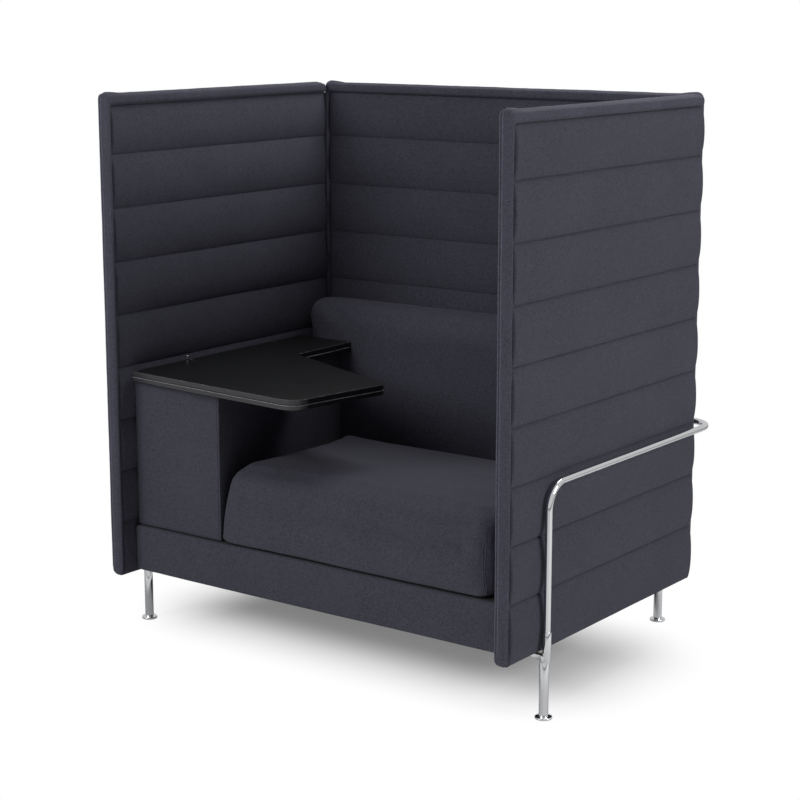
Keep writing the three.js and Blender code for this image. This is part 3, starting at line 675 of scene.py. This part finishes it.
def quilt(name, node, facing, settings, seed, proud):
    """One quilted face of a panel: a padded sheet sewn through along level seams."""
    is_outer = proud > 0
    rows_each, column_width = 20, 7.5 * MM
    low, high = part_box(node)
    across = 0 if high.x - low.x < high.y - low.y else 1
    along = 1 - across
    seams = seam_heights(settings, low.z, high.z)
    run = high[along] - low[along]
    columns = round(run / column_width)
    rows = rows_each * (len(seams) - 1)
    obj = grid_slab(name, columns, rows)
    grid = points_of(obj)
    column = np.rint((grid[:, 0] + 0.5) * columns)
    row = np.rint((grid[:, 1] + 0.5) * rows)
    is_face = grid[:, 2] > 0.5

    channel = np.minimum(row // rows_each, len(seams) - 2).astype(int)
    share = crowded(row / rows_each - channel, 0.15)
    floors, tops = np.array(seams[:-1]), np.array(seams[1:])
    heights = floors[channel] + (tops - floors)[channel] * share
    level = low[along] + run * crowded(column / columns, 0.4)

    # The inner faces are the softer ones
    softness, seam_depth = (0.62, settings.seam_depth) if is_outer else (0.78, settings.seam_depth * 1.2)
    swell = np.array([channel_swell(s, softness) for s in share])
    near_end = np.minimum(level - low[along], high[along] - level)
    # An inner face dies away gently towards a corner of the walls, and every other end is turned in sharply
    sharp_run, gentle_run = 7 * MM, 34 * MM
    corner_run = sharp_run if is_outer else gentle_run
    front_run = sharp_run if along == 1 else corner_run
    end_share = np.minimum((level - low[along]) / front_run, (high[along] - level) / corner_run)
    ends = np.sqrt(1 - np.clip(1 - end_share, 0, 1) ** 2)
    near_seam = np.minimum(share, 1 - share) * (tops - floors)[channel]
    # Broad lumps in the padding, upright puckers that fade out from a seam, and the thread's own crease
    places = np.stack([level, heights, np.full(len(level), seed * 1.0)], axis=1)
    lumps = 0.9 * MM * wobble(places, 0.16, seed) + 0.35 * MM * wobble(places, 0.05, seed + 1)
    stretched = places * np.array([1, 0.35, 1])
    puckers = 0.8 * MM * wobble(stretched, 0.014, seed + 2) * np.exp(-near_seam / (16 * MM))
    crease = (2.2 if is_outer else 0.6) * MM * np.clip(1 - near_seam / (2.6 * MM), 0, 1) * ends
    depth = seam_depth * (1 - swell * (0.15 + 0.85 * ends)) + crease
    depth -= (lumps + puckers) * swell * ends
    thickness = high[across] - low[across] + proud
    out = np.where(is_face, thickness - depth, 0)
    # At each end the seams draw the sheet in, so the edge is scalloped, most of all at the outer faces' rear
    is_rear = level > (low[along] + high[along]) / 2
    scallop = np.where(is_rear, 5, 2) * MM if is_outer else 0.8 * MM
    drawn = scallop * (1 - swell) * np.exp(-near_end / (12 * MM)) * is_face
    level = level + np.where(is_rear, -drawn, drawn)
    # The sewing wanders a little
    heights = heights + np.where(is_face, 1, 0) * 0.8 * MM * wobble(
        np.stack([level, channel * 1.0, channel * 0.0], axis=1), 0.12, seed + 3) * (1 - swell)
    points = np.empty_like(grid)
    points[:, along] = level
    points[:, 2] = np.clip(heights, low.z, high.z)
    points[:, across] = low[across] + out if facing > 0 else high[across] - out
    set_points(obj, points)
    close_and_turn_out(obj)
    smooth_shading(obj, 50)
    return obj


class LOUNGE_OT_quilts(bpy.types.Operator):
    """Models the six quilted faces of the three panels"""
    bl_idname = "lounge.quilts"
    bl_label = "Quilted faces"

    def execute(self, context):
        settings = context.scene.lounge_fabric
        faces = [
            ("left", "inner", 1), ("left", "outer", -1),
            ("right", "inner", -1), ("right", "outer", 1),
            ("back", "inner", -1), ("back", "outer", 1),
        ]
        for seed, (panel, face, facing) in enumerate(faces):
            node = f"{panel}_panel_{face}_pad"
            proud = 2.5 * MM if face == "outer" else 0
            piece = quilt(f"{panel}_{face}_quilt", node, facing, settings, 3 + seed * 5, proud)
            finish_piece(piece, "quilted_fabric", "chair", [node])
        return {"FINISHED"}


# Edge rolls

def roll_of(name, node, across, hollow_low, hollow_high, voxel):
    """A panel's padded edge roll, puffed up round the outline of the quilting that it borders."""
    low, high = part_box(node)
    along = 1 - across
    obj = copy_of(name, node)
    modify(obj, "REMESH", mode="VOXEL", voxel_size=voxel)
    points = points_of(obj)
    # How far each point lies outside the quilting, as shares of the roll's height and the end band's depth
    height = high.z - hollow_high.z
    depth = max(hollow_low[along] - low[along], high[along] - hollow_high[along])
    up = np.maximum(points[:, 2] - hollow_high.z, 0) / height
    end = np.maximum(hollow_low[along] - points[:, along], points[:, along] - hollow_high[along])
    end = np.maximum(end, 0) / depth if depth > MM else np.zeros(len(points))
    out = np.maximum((up ** 3 + end ** 3) ** (1 / 3), 1e-6)
    middle, half = (low[across] + high[across]) / 2, (high[across] - low[across]) / 2
    u, v = (points[:, across] - middle) / half, 2 * out - 1
    # The section is rounded on the roll's free side and nearly square beside the quilting
    power = np.where(v > 0, 2.4, 4.0)
    reach = np.maximum(np.abs(u), np.abs(v))
    length = (np.abs(u) ** power + np.abs(v) ** power) ** (1 / power)
    share = reach / np.maximum(length, 1e-6)
    moved = (v * share + 1) / 2 - out
    up_part = np.where(up + end > 0.02, up ** 3 / (out ** 3), points[:, 2] > hollow_high.z - MM)
    up_part = np.clip(up_part, 0, 1)
    side = np.where(points[:, along] < (low[along] + high[along]) / 2, -1, 1)
    points[:, across] = middle + u * share * half
    points[:, 2] += moved * up_part * height
    points[:, along] += moved * (1 - up_part) * side * depth
    # The end band's foot is rounded across as well as in the side view
    if depth > MM:
        foot = np.clip((points[:, 2] - low.z) / half, 0, 1)
        pinch = 1 - (1 - np.sqrt(1 - (1 - foot) ** 2)) * 0.8
        points[:, across] = middle + (points[:, across] - middle) * pinch
    set_points(obj, points)
    modify(obj, "SMOOTH", factor=0.5, iterations=5)
    ripple(obj, (0.8 * MM, 0.4 * MM), (0.11, 0.03), len(name))
    smooth_shading(obj, SOFT_ANGLE)
    return obj


def press_seam(obj, x):
    """Draws a roll's front and top in along a line of constant x."""
    half_width, depth, least_normal = 5 * MM, 3 * MM, 0.3
    points, normals = points_of(obj), normals_of(obj)
    share = np.clip(1 - np.abs(points[:, 0] - x) / half_width, 0, 1)
    is_outside = (normals[:, 1] < -least_normal) | (normals[:, 2] > least_normal)
    pull = depth * share * share * (3 - 2 * share) * is_outside
    set_points(obj, points - normals * pull[:, None])


def roll_piping(name, obj, x, low, high, radius):
    """A row of piping at a constant x, up a roll's front and back along its top."""
    foot, bend, spacing, sink = 24 * MM, 22 * MM, 12 * MM, 0.2
    corners = [(x, low.y, low.z + foot), (x, low.y, high.z), (x, high.y, high.z)]
    line = bent_path(corners, [bend], steps=8)
    surface = BVHTree.FromObject(obj, bpy.context.evaluated_depsgraph_get())
    snapped = []
    for start, end in zip(line, line[1:]):
        count = max(1, round((end - start).length / spacing))
        for step in range(count):
            spot, normal = surface.find_nearest(start.lerp(end, step / count))[:2]
            snapped.append(Vector((x, spot.y, spot.z)) - normal * radius * sink)
    piping = tube(name, snapped, radius, sides=12)
    finish_piece(piping, "piping", "chair")


class LOUNGE_OT_edge_rolls(bpy.types.Operator):
    """Models the padded rolls round the panels' free edges, with their sewn piping"""
    bl_idname = "lounge.edge_rolls"
    bl_label = "Edge rolls"

    def execute(self, context):
        radius = context.scene.lounge_fabric.piping_radius
        for name in SIDES:
            node = f"{name}_panel_edge_roll"
            low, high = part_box(node)
            obj = roll_of(f"{name}_edge_roll", node, 0, *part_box(f"{name}_panel_core"), 2.6 * MM)
            # Both side panels are sewn alike, so the seam lies towards the same hand on each
            seam_x = low.x + 9 * MM
            press_seam(obj, seam_x)
            finish_piece(obj, "border_fabric", "chair", [node])
            # A row of piping, its wool painted paler as a highlight along its ridge, stands on each side of
            # the seam
            for i, beside in enumerate((-4.5 * MM, 3.5 * MM)):
                roll_piping(f"{name}_edge_piping_{i + 1}", obj, seam_x + beside, low, high, radius)
        back = roll_of("back_edge_roll", "back_panel_edge_roll", 1, *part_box("back_panel_core"), 3 * MM)
        finish_piece(back, "border_fabric", "chair", ["back_panel_edge_roll"])
        return {"FINISHED"}


# Cushions

def reshape_corner(points, first, second, before, after):
    """Turns an edge's rounding from one superellipse into another, squarer or rounder.

    Each side is given as its axis, the place of its face, and how far the rounding runs into the body.
    """
    shares = [np.clip(1 - (points[:, axis] - face) / run, 0, None) for axis, face, run in (first, second)]
    was = sum(share ** before for share in shares) ** (1 / before)
    will = sum(share ** after for share in shares) ** (1 / after)
    for (axis, face, run), share in zip((first, second), shares):
        moved = face + run * (1 - share * was / np.maximum(will, 1e-9))
        points[:, axis] = np.where(share > 0, moved, points[:, axis])
    return points


def swollen_cushion(name, node, shrink, voxel, pressure, cap, held_test, seed, keep=None):
    """A cushion blown up by simulation inside the space that its solid holds."""
    low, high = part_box(node)
    obj = copy_of(name, node)
    middle = (low + high) / 2
    size = high - low
    scale = np.array([1 - 2 * s / d for s, d in zip(shrink, size)])
    set_points(obj, np.array(middle) + (points_of(obj) - np.array(middle)) * scale)
    modify(obj, "REMESH", mode="VOXEL", voxel_size=voxel)
    modify(obj, "SMOOTH", factor=0.5, iterations=4)
    inflate(obj, pressure, cap, held_test(points_of(obj)), low, high)
    if keep:
        set_points(obj, keep(points_of(obj)))
    modify(obj, "SMOOTH", factor=0.5, iterations=3)
    ripple(obj, (1.6 * MM, 0.7 * MM), (0.22, 0.07), seed)
    return obj


def piping_on(name, obj, line, radius, sink):
    """Piping sewn along the nearest points of a piece's surface."""
    surface = BVHTree.FromObject(obj, bpy.context.evaluated_depsgraph_get())
    snapped = []
    for point in line:
        spot, normal = surface.find_nearest(point)[:2]
        snapped.append(spot - normal * radius * sink)
    return tube(name, snapped, radius, sides=12)


class LOUNGE_OT_seat(bpy.types.Operator):
    """Models the seat cushion with its crown, drawn-in corner and end seams"""
    bl_idname = "lounge.seat"
    bl_label = "Seat cushion"

    def execute(self, context):
        low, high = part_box("seat_cushion")
        arm_low, arm_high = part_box("arm_box_cover")
        arm = points_of(frame["nodes"]["arm_box_cover"])
        rear_x = arm[arm[:, 1] > arm_high.y - 2 * MM, 0].max()
        slant = (arm_high.x - rear_x) / (arm_high.y - arm_low.y)

        def beside_the_arm(points):
            """Rounds the top's left end, sharpens the foot and keeps clear of the arm box's slanted side."""
            rounding, foot_rounding, fall = 60 * MM, 30 * MM, 60 * MM
            wall = arm_high.x - slant * (points[:, 1] - arm_low.y) + 0.3 * MM
            top = high.z - fall * (points[:, 1] - low.y) / (high.y - low.y)
            points = reshape_corner(points, (0, wall, rounding), (2, top, -54 * MM), 2.8, 2)
            points = reshape_corner(points, (1, low.y, foot_rounding), (2, low.z, foot_rounding), 2, 9)
            points[:, 0] = np.maximum(points[:, 0], wall)
            points = np.clip(points, np.array(low), np.array(high))
            # In front of the arm box the left end swells past the arm's corner
            bulge = 15 * MM
            free = np.clip((arm_low.y - points[:, 1]) / (10 * MM), 0, 1)
            height = np.clip((points[:, 2] - low.z) / (high.z - low.z), 0, 1)
            end = np.clip(1 - (points[:, 0] - arm_high.x) / rounding, 0, 1)
            points[:, 0] -= bulge * free * end * np.sin(np.pi * height) ** 0.6
            return points

        obj = swollen_cushion(
            "seat_cushion_cover", "seat_cushion", (1 * MM, 4 * MM, 4 * MM), 7.5 * MM, 4.0, 14 * MM,
            lambda p: p[:, 2] < low.z + 12 * MM, 21, beside_the_arm)
        modify(obj, "SUBSURF", levels=1, render_levels=1)
        smooth_shading(obj, SOFT_ANGLE)
        finish_piece(obj, "plain_fabric", "chair", ["seat_cushion"])
        # Double piping closes the right end: corners lie this far in from the end and down from the top
        radius, bend = context.scene.lounge_fabric.piping_radius * 0.7, 45 * MM
        corners = [(20 * MM, 16.4 * MM), (36 * MM, 54.4 * MM), (36 * MM, 154.4 * MM), (20 * MM, 192.4 * MM)]
        for i, inset in enumerate((0, 8 * MM)):
            path = [(high.x - aside - inset, low.y - 5 * MM, high.z - down) for aside, down in corners]
            line = bent_path(path, [bend, bend], steps=8)
            dense = [a.lerp(b, k / 4) for a, b in zip(line, line[1:]) for k in range(4)] + [line[-1]]
            piping = piping_on(f"seat_end_piping_{i + 1}", obj, dense, radius, 0.3)
            finish_piece(piping, "plain_fabric", "chair")
        return {"FINISHED"}


class LOUNGE_OT_backrest(bpy.types.Operator):
    """Models the back cushion"""
    bl_idname = "lounge.backrest"
    bl_label = "Back cushion"

    def execute(self, context):
        low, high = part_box("back_cushion")
        obj = swollen_cushion(
            "back_cushion_cover", "back_cushion", (4 * MM, 4 * MM, 4 * MM), 8.5 * MM, 4.0, 14 * MM,
            lambda p: (p[:, 2] < low.z + 12 * MM) | (p[:, 1] > high.y - 14 * MM), 31)
        modify(obj, "SUBSURF", levels=1, render_levels=1)
        smooth_shading(obj, SOFT_ANGLE)
        finish_piece(obj, "plain_fabric", "chair", ["back_cushion"])
        return {"FINISHED"}


def tight_cover(name, node, seed):
    """A thin padded cover drawn tight over a board, uneven only as far as its padding gives."""
    obj = copy_of(name, node)
    modify(obj, "REMESH", mode="VOXEL", voxel_size=3.6 * MM)
    modify(obj, "SMOOTH", factor=0.5, iterations=4)
    ripple(obj, (0.9 * MM, 0.4 * MM), (0.16, 0.05), seed)
    smooth_shading(obj, SOFT_ANGLE)
    finish_piece(obj, "plain_fabric", "chair", [node])
    return obj


class LOUNGE_OT_base(bpy.types.Operator):
    """Models the four upholstered faces of the seat base"""
    bl_idname = "lounge.base"
    bl_label = "Seat base"

    def execute(self, context):
        for seed, side in enumerate(("front", "rear", "left", "right")):
            tight_cover(f"base_{side}_cover", f"base_{side}_pad", 50 + seed)
        return {"FINISHED"}


class LOUNGE_OT_arm(bpy.types.Operator):
    """Models the arm box's upholstered cover with its piped corner"""
    bl_idname = "lounge.arm"
    bl_label = "Arm box"

    def execute(self, context):
        radius = context.scene.lounge_fabric.piping_radius * 0.8
        low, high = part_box("arm_box_cover")
        obj = tight_cover("arm_cover", "arm_box_cover", 61)
        heights = np.linspace(low.z, high.z, 41)
        # Two rows of piping stand beside its front corner towards the seat
        for i, inset in enumerate((1.2 * MM, 8 * MM)):
            line = [Vector((high.x - inset, low.y, height)) for height in heights]
            piping = piping_on(f"arm_corner_piping_{i + 1}", obj, line, radius, 0.2)
            finish_piece(piping, "plain_fabric", "chair")
        return {"FINISHED"}


# Worktop

class LOUNGE_OT_worktop(bpy.types.Operator):
    """Models the lifting leaf and the lower board with rounded edges"""
    bl_idname = "lounge.worktop"
    bl_label = "Worktop"

    def execute(self, context):
        settings = context.scene.lounge_worktop
        # How far a face's normal points up or forward, to tell its rounded rim and front edge from its top
        slanting, level, facing_front = 0.3, 0.9, 0.25
        for name, node, body in (
            ("worktop_leaf_board", "worktop_leaf", "leaf"),
            ("worktop_fixed_board", "worktop_lower_board", "chair"),
        ):
            obj = crisp_copy(name, node, settings.edge_round, segments=3, sharp=34, smooth=30)
            modify(obj, "WEIGHTED_NORMAL", keep_sharp=True)
            give_finish(obj, "worktop", "worktop_lit_front_edge", "worktop_rim_highlight")
            for face in obj.data.polygons:
                # The upward-slanting rim takes the painted highlight
                is_highlit_rim = slanting < face.normal.z < level
                # Only the front-facing edges take the lighter edge finish, painted as lit; the side edges
                # keep the top's near-black finish as painted shade
                is_lit_front = abs(face.normal.z) < level and face.normal.y < -facing_front
                face.material_index = 2 if is_highlit_rim else 1 if is_lit_front else 0
            join_frame(obj, body, [node])
        return {"FINISHED"}


class LOUNGE_OT_pivots(bpy.types.Operator):
    """Models the leaf's pivot posts, pins and bumpers"""
    bl_idname = "lounge.pivots"
    bl_label = "Pivots and bumpers"

    def execute(self, context):
        for end, finish in (("front", "chrome"), ("rear", "steel")):
            node = f"pivot_post_{end}"
            obj = crisp_copy(f"{node}_turned", node, 0.4 * MM, segments=2, sharp=40, smooth=50)
            finish_piece(obj, finish, "chair", [node])
            give_finish(frame["nodes"][f"pivot_pin_{end}"], "steel")
            node = f"worktop_bumper_{end}"
            low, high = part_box(node)
            middle = (low + high) / 2
            radius = (high.x - low.x) / 2
            bead = turned(f"{node}_bead", [
                (radius, low.z), (radius, low.z + (high.z - low.z) * 0.6), (radius * 0.8, high.z),
            ], middle, sides=28)
            soften_edges(bead, 0.25 * MM)
            smooth_shading(bead, 50)
            finish_piece(bead, "bumper", "chair", [node])
        return {"FINISHED"}


# Rails and legs

class LOUNGE_OT_rails(bpy.types.Operator):
    """Models the two bent chrome rails"""
    bl_idname = "lounge.rails"
    bl_label = "Side rails"

    def execute(self, context):
        settings = context.scene.lounge_metal
        for name, side in SIDES.items():
            node = f"{name}_side_rail"
            low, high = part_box(node)
            leg_low, leg_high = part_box(f"front_{name}_leg")
            radius = 8 * MM
            outer_x = side * (max(abs(low.x), abs(high.x)) - radius + 0.4 * MM)
            inner_x = side * (min(abs(low.x), abs(high.x)) + radius)
            front_y, rear_y, top_z = (leg_low.y + leg_high.y) / 2, high.y - radius, high.z - radius
            corners = [
                (outer_x, front_y, low.z), (outer_x, front_y, top_z), (outer_x, rear_y, top_z),
                (inner_x, rear_y, top_z), (inner_x, rear_y, low.z),
            ]
            bends = [settings.front_bend, settings.rear_bend, settings.rear_bend]
            obj = tube(f"{name}_rail_tube", bent_path(corners, bends, steps=18), radius, sides=36)
            finish_piece(obj, "chrome", "chair", [node])
        return {"FINISHED"}


def leg_and_glide(name):
    """Leg and glide of one corner, both turned round the leg's upright line."""
    leg_low, leg_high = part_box(f"{name}_leg")
    glide_low, glide_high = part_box(f"{name}_glide")
    centre = (glide_low + glide_high) / 2
    leg_radius, stud, thread_bore, bore_depth = 11 * MM, 5 * MM, 4.3 * MM, 34 * MM
    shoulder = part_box(f"{name}_bracket")[0].z - 0.3 * MM
    leg = turned(f"{name}_leg_tube", [
        (leg_radius - 1.5 * MM, leg_low.z), (leg_radius, leg_low.z + 1.5 * MM),
        (leg_radius, shoulder), (stud, shoulder), (stud, leg_high.z),
    ], centre, sides=48)
    ends = [(thread_bore, leg_low.z - MM), (thread_bore, leg_low.z + bore_depth)]
    subtract(leg, turned("bore", ends, centre, sides=24))
    soften_edges(leg, 0.5 * MM)
    smooth_shading(leg, 35)
    finish_piece(leg, "chrome", "chair", [f"{name}_leg"])

    # A disc with a rounded rim and a sloping top, then its threaded stem
    rim, stem, disc_top = (glide_high.x - glide_low.x) / 2, 4 * MM, 7.5 * MM
    glide = turned(f"{name}_glide_foot", [
        (rim - 1.2 * MM, 0), (rim, 1.2 * MM), (rim, 4.6 * MM),
        (rim * 0.95, 5.6 * MM), (rim * 0.75, 6.4 * MM),
        (leg_radius, disc_top), (stem, disc_top), (stem, glide_high.z),
    ], centre, sides=56)
    soften_edges(glide, 0.4 * MM, angle=25)
    smooth_shading(glide, 35)
    finish_piece(glide, "chrome", f"{name}_foot", [f"{name}_glide"])


class LOUNGE_OT_legs(bpy.types.Operator):
    """Models the four legs with brackets, glides and bolts"""
    bl_idname = "lounge.legs"
    bl_label = "Legs"

    def execute(self, context):
        for end in ("front", "rear"):
            for side in SIDES:
                name = f"{end}_{side}"
                leg_and_glide(name)
                bracket = crisp_copy(f"{name}_bracket_cast", f"{name}_bracket", 0.5 * MM,
                                     segments=2, sharp=40, smooth=40)
                finish_piece(bracket, "chrome", "chair", [f"{name}_bracket"])
                bolt = copy_of(f"{name}_bolt_turned", f"{name}_bolt")
                soften_edges(bolt, 0.3 * MM, segments=2, angle=40)
                smooth_shading(bolt, 40)
                finish_piece(bolt, "steel", "chair", [f"{name}_bolt"])
        return {"FINISHED"}


# Corner zips

class LOUNGE_OT_zips(bpy.types.Operator):
    """Models the corner zips: tape, two rows of teeth and the slider"""
    bl_idname = "lounge.zips"
    bl_label = "Corner zips"

    def execute(self, context):
        pitch, tooth_length, tooth_share, row_offset = 4.4 * MM, 3 * MM, 0.42, 1.1 * MM
        for name, side in SIDES.items():
            node = f"{name}_corner_zip"
            low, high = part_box(node)
            outer = high.x if side > 0 else low.x
            tape_edge = outer - side * 2.2 * MM
            far_edge = (low.x if side > 0 else high.x) + side * 8 * MM
            tape = block(f"{name}_zip_tape", (min(tape_edge, far_edge), low.y + 0.6 * MM, low.z),
                         (max(tape_edge, far_edge), high.y - 0.6 * MM, high.z + 15 * MM))
            soften_edges(tape, 0.3 * MM)
            finish_piece(tape, "zip", "chair", [node])
            count = int((high.z - low.z) / pitch) - 1
            rows = []
            root = outer - side * tooth_length
            for i, (front, rear) in enumerate(((low.y, high.y - row_offset), (low.y + row_offset, high.y))):
                base = low.z + pitch * (0.5 + 0.5 * i)
                tooth = block(f"row_{i}", (min(outer, root), front, base),
                              (max(outer, root), rear, base + pitch * tooth_share))
                soften_edges(tooth, 0.35 * MM, segments=1)
                modify(tooth, "ARRAY", count=count, use_relative_offset=False, use_constant_offset=True,
                       constant_offset_displace=(0, 0, pitch))
                rows.append(tooth)
            teeth = join_pieces(f"{name}_zip_teeth", rows)
            finish_piece(teeth, "zip_teeth", "chair")
            node = f"{name}_zip_slider"
            slider = crisp_copy(f"{name}_zip_pull", node, 0.9 * MM, segments=3, sharp=32, smooth=40)
            finish_piece(slider, "steel", f"{name}_slider", [node])
        return {"FINISHED"}


# What the upholstery hides

class LOUNGE_OT_inner_parts(bpy.types.Operator):
    """Gives the frame's hidden boards, webbing and linings their finishes"""
    bl_idname = "lounge.inner_parts"
    bl_label = "Inner parts"

    def execute(self, context):
        slots = {p["node"]: p["material_slot"] for p in frame["record"]["subparts"]}
        for node, obj in frame["nodes"].items():
            give_finish(obj, slots[node])
        return {"FINISHED"}


# Stage

def soft_lamp(name, place, aim, size, power):
    """A round lamp at a place, turned to its aim."""
    bpy.ops.object.light_add(type="AREA", location=place)
    lamp = bpy.context.object
    lamp.name = name
    lamp.data.shape = "DISK"
    lamp.data.size = size
    lamp.data.energy = power
    lamp.rotation_mode = "QUATERNION"
    lamp.rotation_quaternion = (Vector(aim) - Vector(place)).to_track_quat("-Z", "Y")


def white_floor():
    """A pale floor that keeps the shadow near the chair and fades to white around it."""
    material, tree, shader = new_finish("pale_floor", Roughness=0.9, Specular_IOR_Level=0.0)
    shader.inputs["Base Color"].default_value = shade(srgb("#f6f6f6"))
    points = add(tree, "ShaderNodeTexCoord").outputs["Object"]
    # The shadow is kept whole within these half sizes of the middle, and is gone at the reach beyond them
    half_sizes, reach, least_white = (0.42, 0.08, 0), 0.36, 0.19
    past = points
    for operation, values in (("ABSOLUTE", {}), ("SUBTRACT", {1: half_sizes}), ("MAXIMUM", {1: (0, 0, 0)})):
        past = add(tree, "ShaderNodeVectorMath", {0: past, **values}, operation=operation).outputs["Vector"]
    distance = add(tree, "ShaderNodeVectorMath", {0: past}, operation="LENGTH").outputs["Value"]
    far = add(tree, "ShaderNodeMapRange", {"Value": distance, "From Max": reach, "To Min": least_white},
              interpolation_type="SMOOTHSTEP")
    glow = add(tree, "ShaderNodeEmission", {"Color": (1, 1, 1, 1), "Strength": 1.0})
    is_seen = add(tree, "ShaderNodeLightPath").outputs["Is Camera Ray"]
    factor = add(tree, "ShaderNodeMath", {0: far.outputs["Result"], 1: is_seen}, operation="MULTIPLY")
    mix = add(tree, "ShaderNodeMixShader", {"Fac": factor.outputs[0]})
    tree.links.new(shader.outputs["BSDF"], mix.inputs[1])
    tree.links.new(glow.outputs["Emission"], mix.inputs[2])
    tree.links.new(mix.outputs["Shader"], tree.nodes["Material Output"].inputs["Surface"])
    return material


class LOUNGE_OT_stage(bpy.types.Operator):
    """Sets the floor, the lamps, the world and the camera"""
    bl_idname = "lounge.stage"
    bl_label = "Stage"

    def execute(self, context):
        settings = context.scene.lounge_stage
        bpy.ops.object.select_all(action="DESELECT")
        bpy.ops.mesh.primitive_circle_add(vertices=96, radius=14, fill_type="NGON", location=(0, 0, 0))
        floor = context.object
        floor.name = "studio_floor"
        floor.data.materials.append(white_floor())

        soft_lamp("lamp_top", (0.3, 0.9, 3.2), (0, -0.2, 0.6), 1.6, settings.top_power)
        soft_lamp("lamp_side", (3.4, 0.2, 2.1), (0.4, 0, 0.7), 1.2, settings.side_power)
        soft_lamp("lamp_front", (-1.3, -4.4, 3.0), (0, 0, 0.7), 2.6, settings.front_power)

        world = bpy.data.worlds.new("studio_air")
        context.scene.world = world
        world.use_nodes = True
        tree = world.node_tree
        back = tree.nodes["Background"]
        back.inputs["Color"].default_value = (1, 1, 1, 1)
        rays = add(tree, "ShaderNodeLightPath")
        mirrored = add(tree, "ShaderNodeMath", {0: rays.outputs["Is Glossy Ray"], 1: settings.mirrored_sky},
                       operation="MULTIPLY").outputs[0]
        white = add(tree, "ShaderNodeMath", {0: rays.outputs["Is Camera Ray"], 1: mirrored},
                    operation="MAXIMUM").outputs[0]
        strength = add(tree, "ShaderNodeMapRange", {"Value": white, "To Min": settings.sky_strength})
        tree.links.new(strength.outputs["Result"], back.inputs["Strength"])

        bpy.ops.object.camera_add(location=settings.camera_place)
        camera = context.object
        camera.name = "photo_camera"
        camera.rotation_euler = (math.pi / 2 - settings.camera_pitch, 0, settings.camera_yaw)
        camera.data.lens = settings.camera_lens
        camera.data.sensor_width = 36
        context.scene.camera = camera
        context.scene.view_settings.view_transform = "Standard"
        return {"FINISHED"}


PIECES = (
    LOUNGE_OT_inner_parts,
    LOUNGE_OT_quilts,
    LOUNGE_OT_edge_rolls,
    LOUNGE_OT_base,
    LOUNGE_OT_arm,
    LOUNGE_OT_seat,
    LOUNGE_OT_backrest,
    LOUNGE_OT_worktop,
    LOUNGE_OT_pivots,
    LOUNGE_OT_rails,
    LOUNGE_OT_legs,
    LOUNGE_OT_zips,
    LOUNGE_OT_stage,
)


class LOUNGE_PT_panel(bpy.types.Panel):
    """Lists the chair's pieces and settings in the sidebar"""
    bl_label = "Lounge chair"
    bl_space_type = "VIEW_3D"
    bl_region_type = "UI"
    bl_category = "Lounge"

    def draw(self, context):
        for operator in PIECES:
            self.layout.operator(operator.bl_idname)
        for name, group in SETTINGS.items():
            box = self.layout.box()
            for field in group.__annotations__:
                box.prop(getattr(context.scene, name), field)


CLASSES = (*SETTINGS.values(), *PIECES, LOUNGE_PT_panel)


def register():
    for item in CLASSES:
        bpy.utils.register_class(item)
    for name, group in SETTINGS.items():
        setattr(bpy.types.Scene, name, PointerProperty(type=group))


def unregister():
    for name in SETTINGS:
        delattr(bpy.types.Scene, name)
    for item in reversed(CLASSES):
        bpy.utils.unregister_class(item)


def main():
    register()
    make_finishes(bpy.context.scene)
    for operator in PIECES:
        group, name = operator.bl_idname.split(".")
        getattr(getattr(bpy.ops, group), name)()


if __name__ == "__main__":
    main()
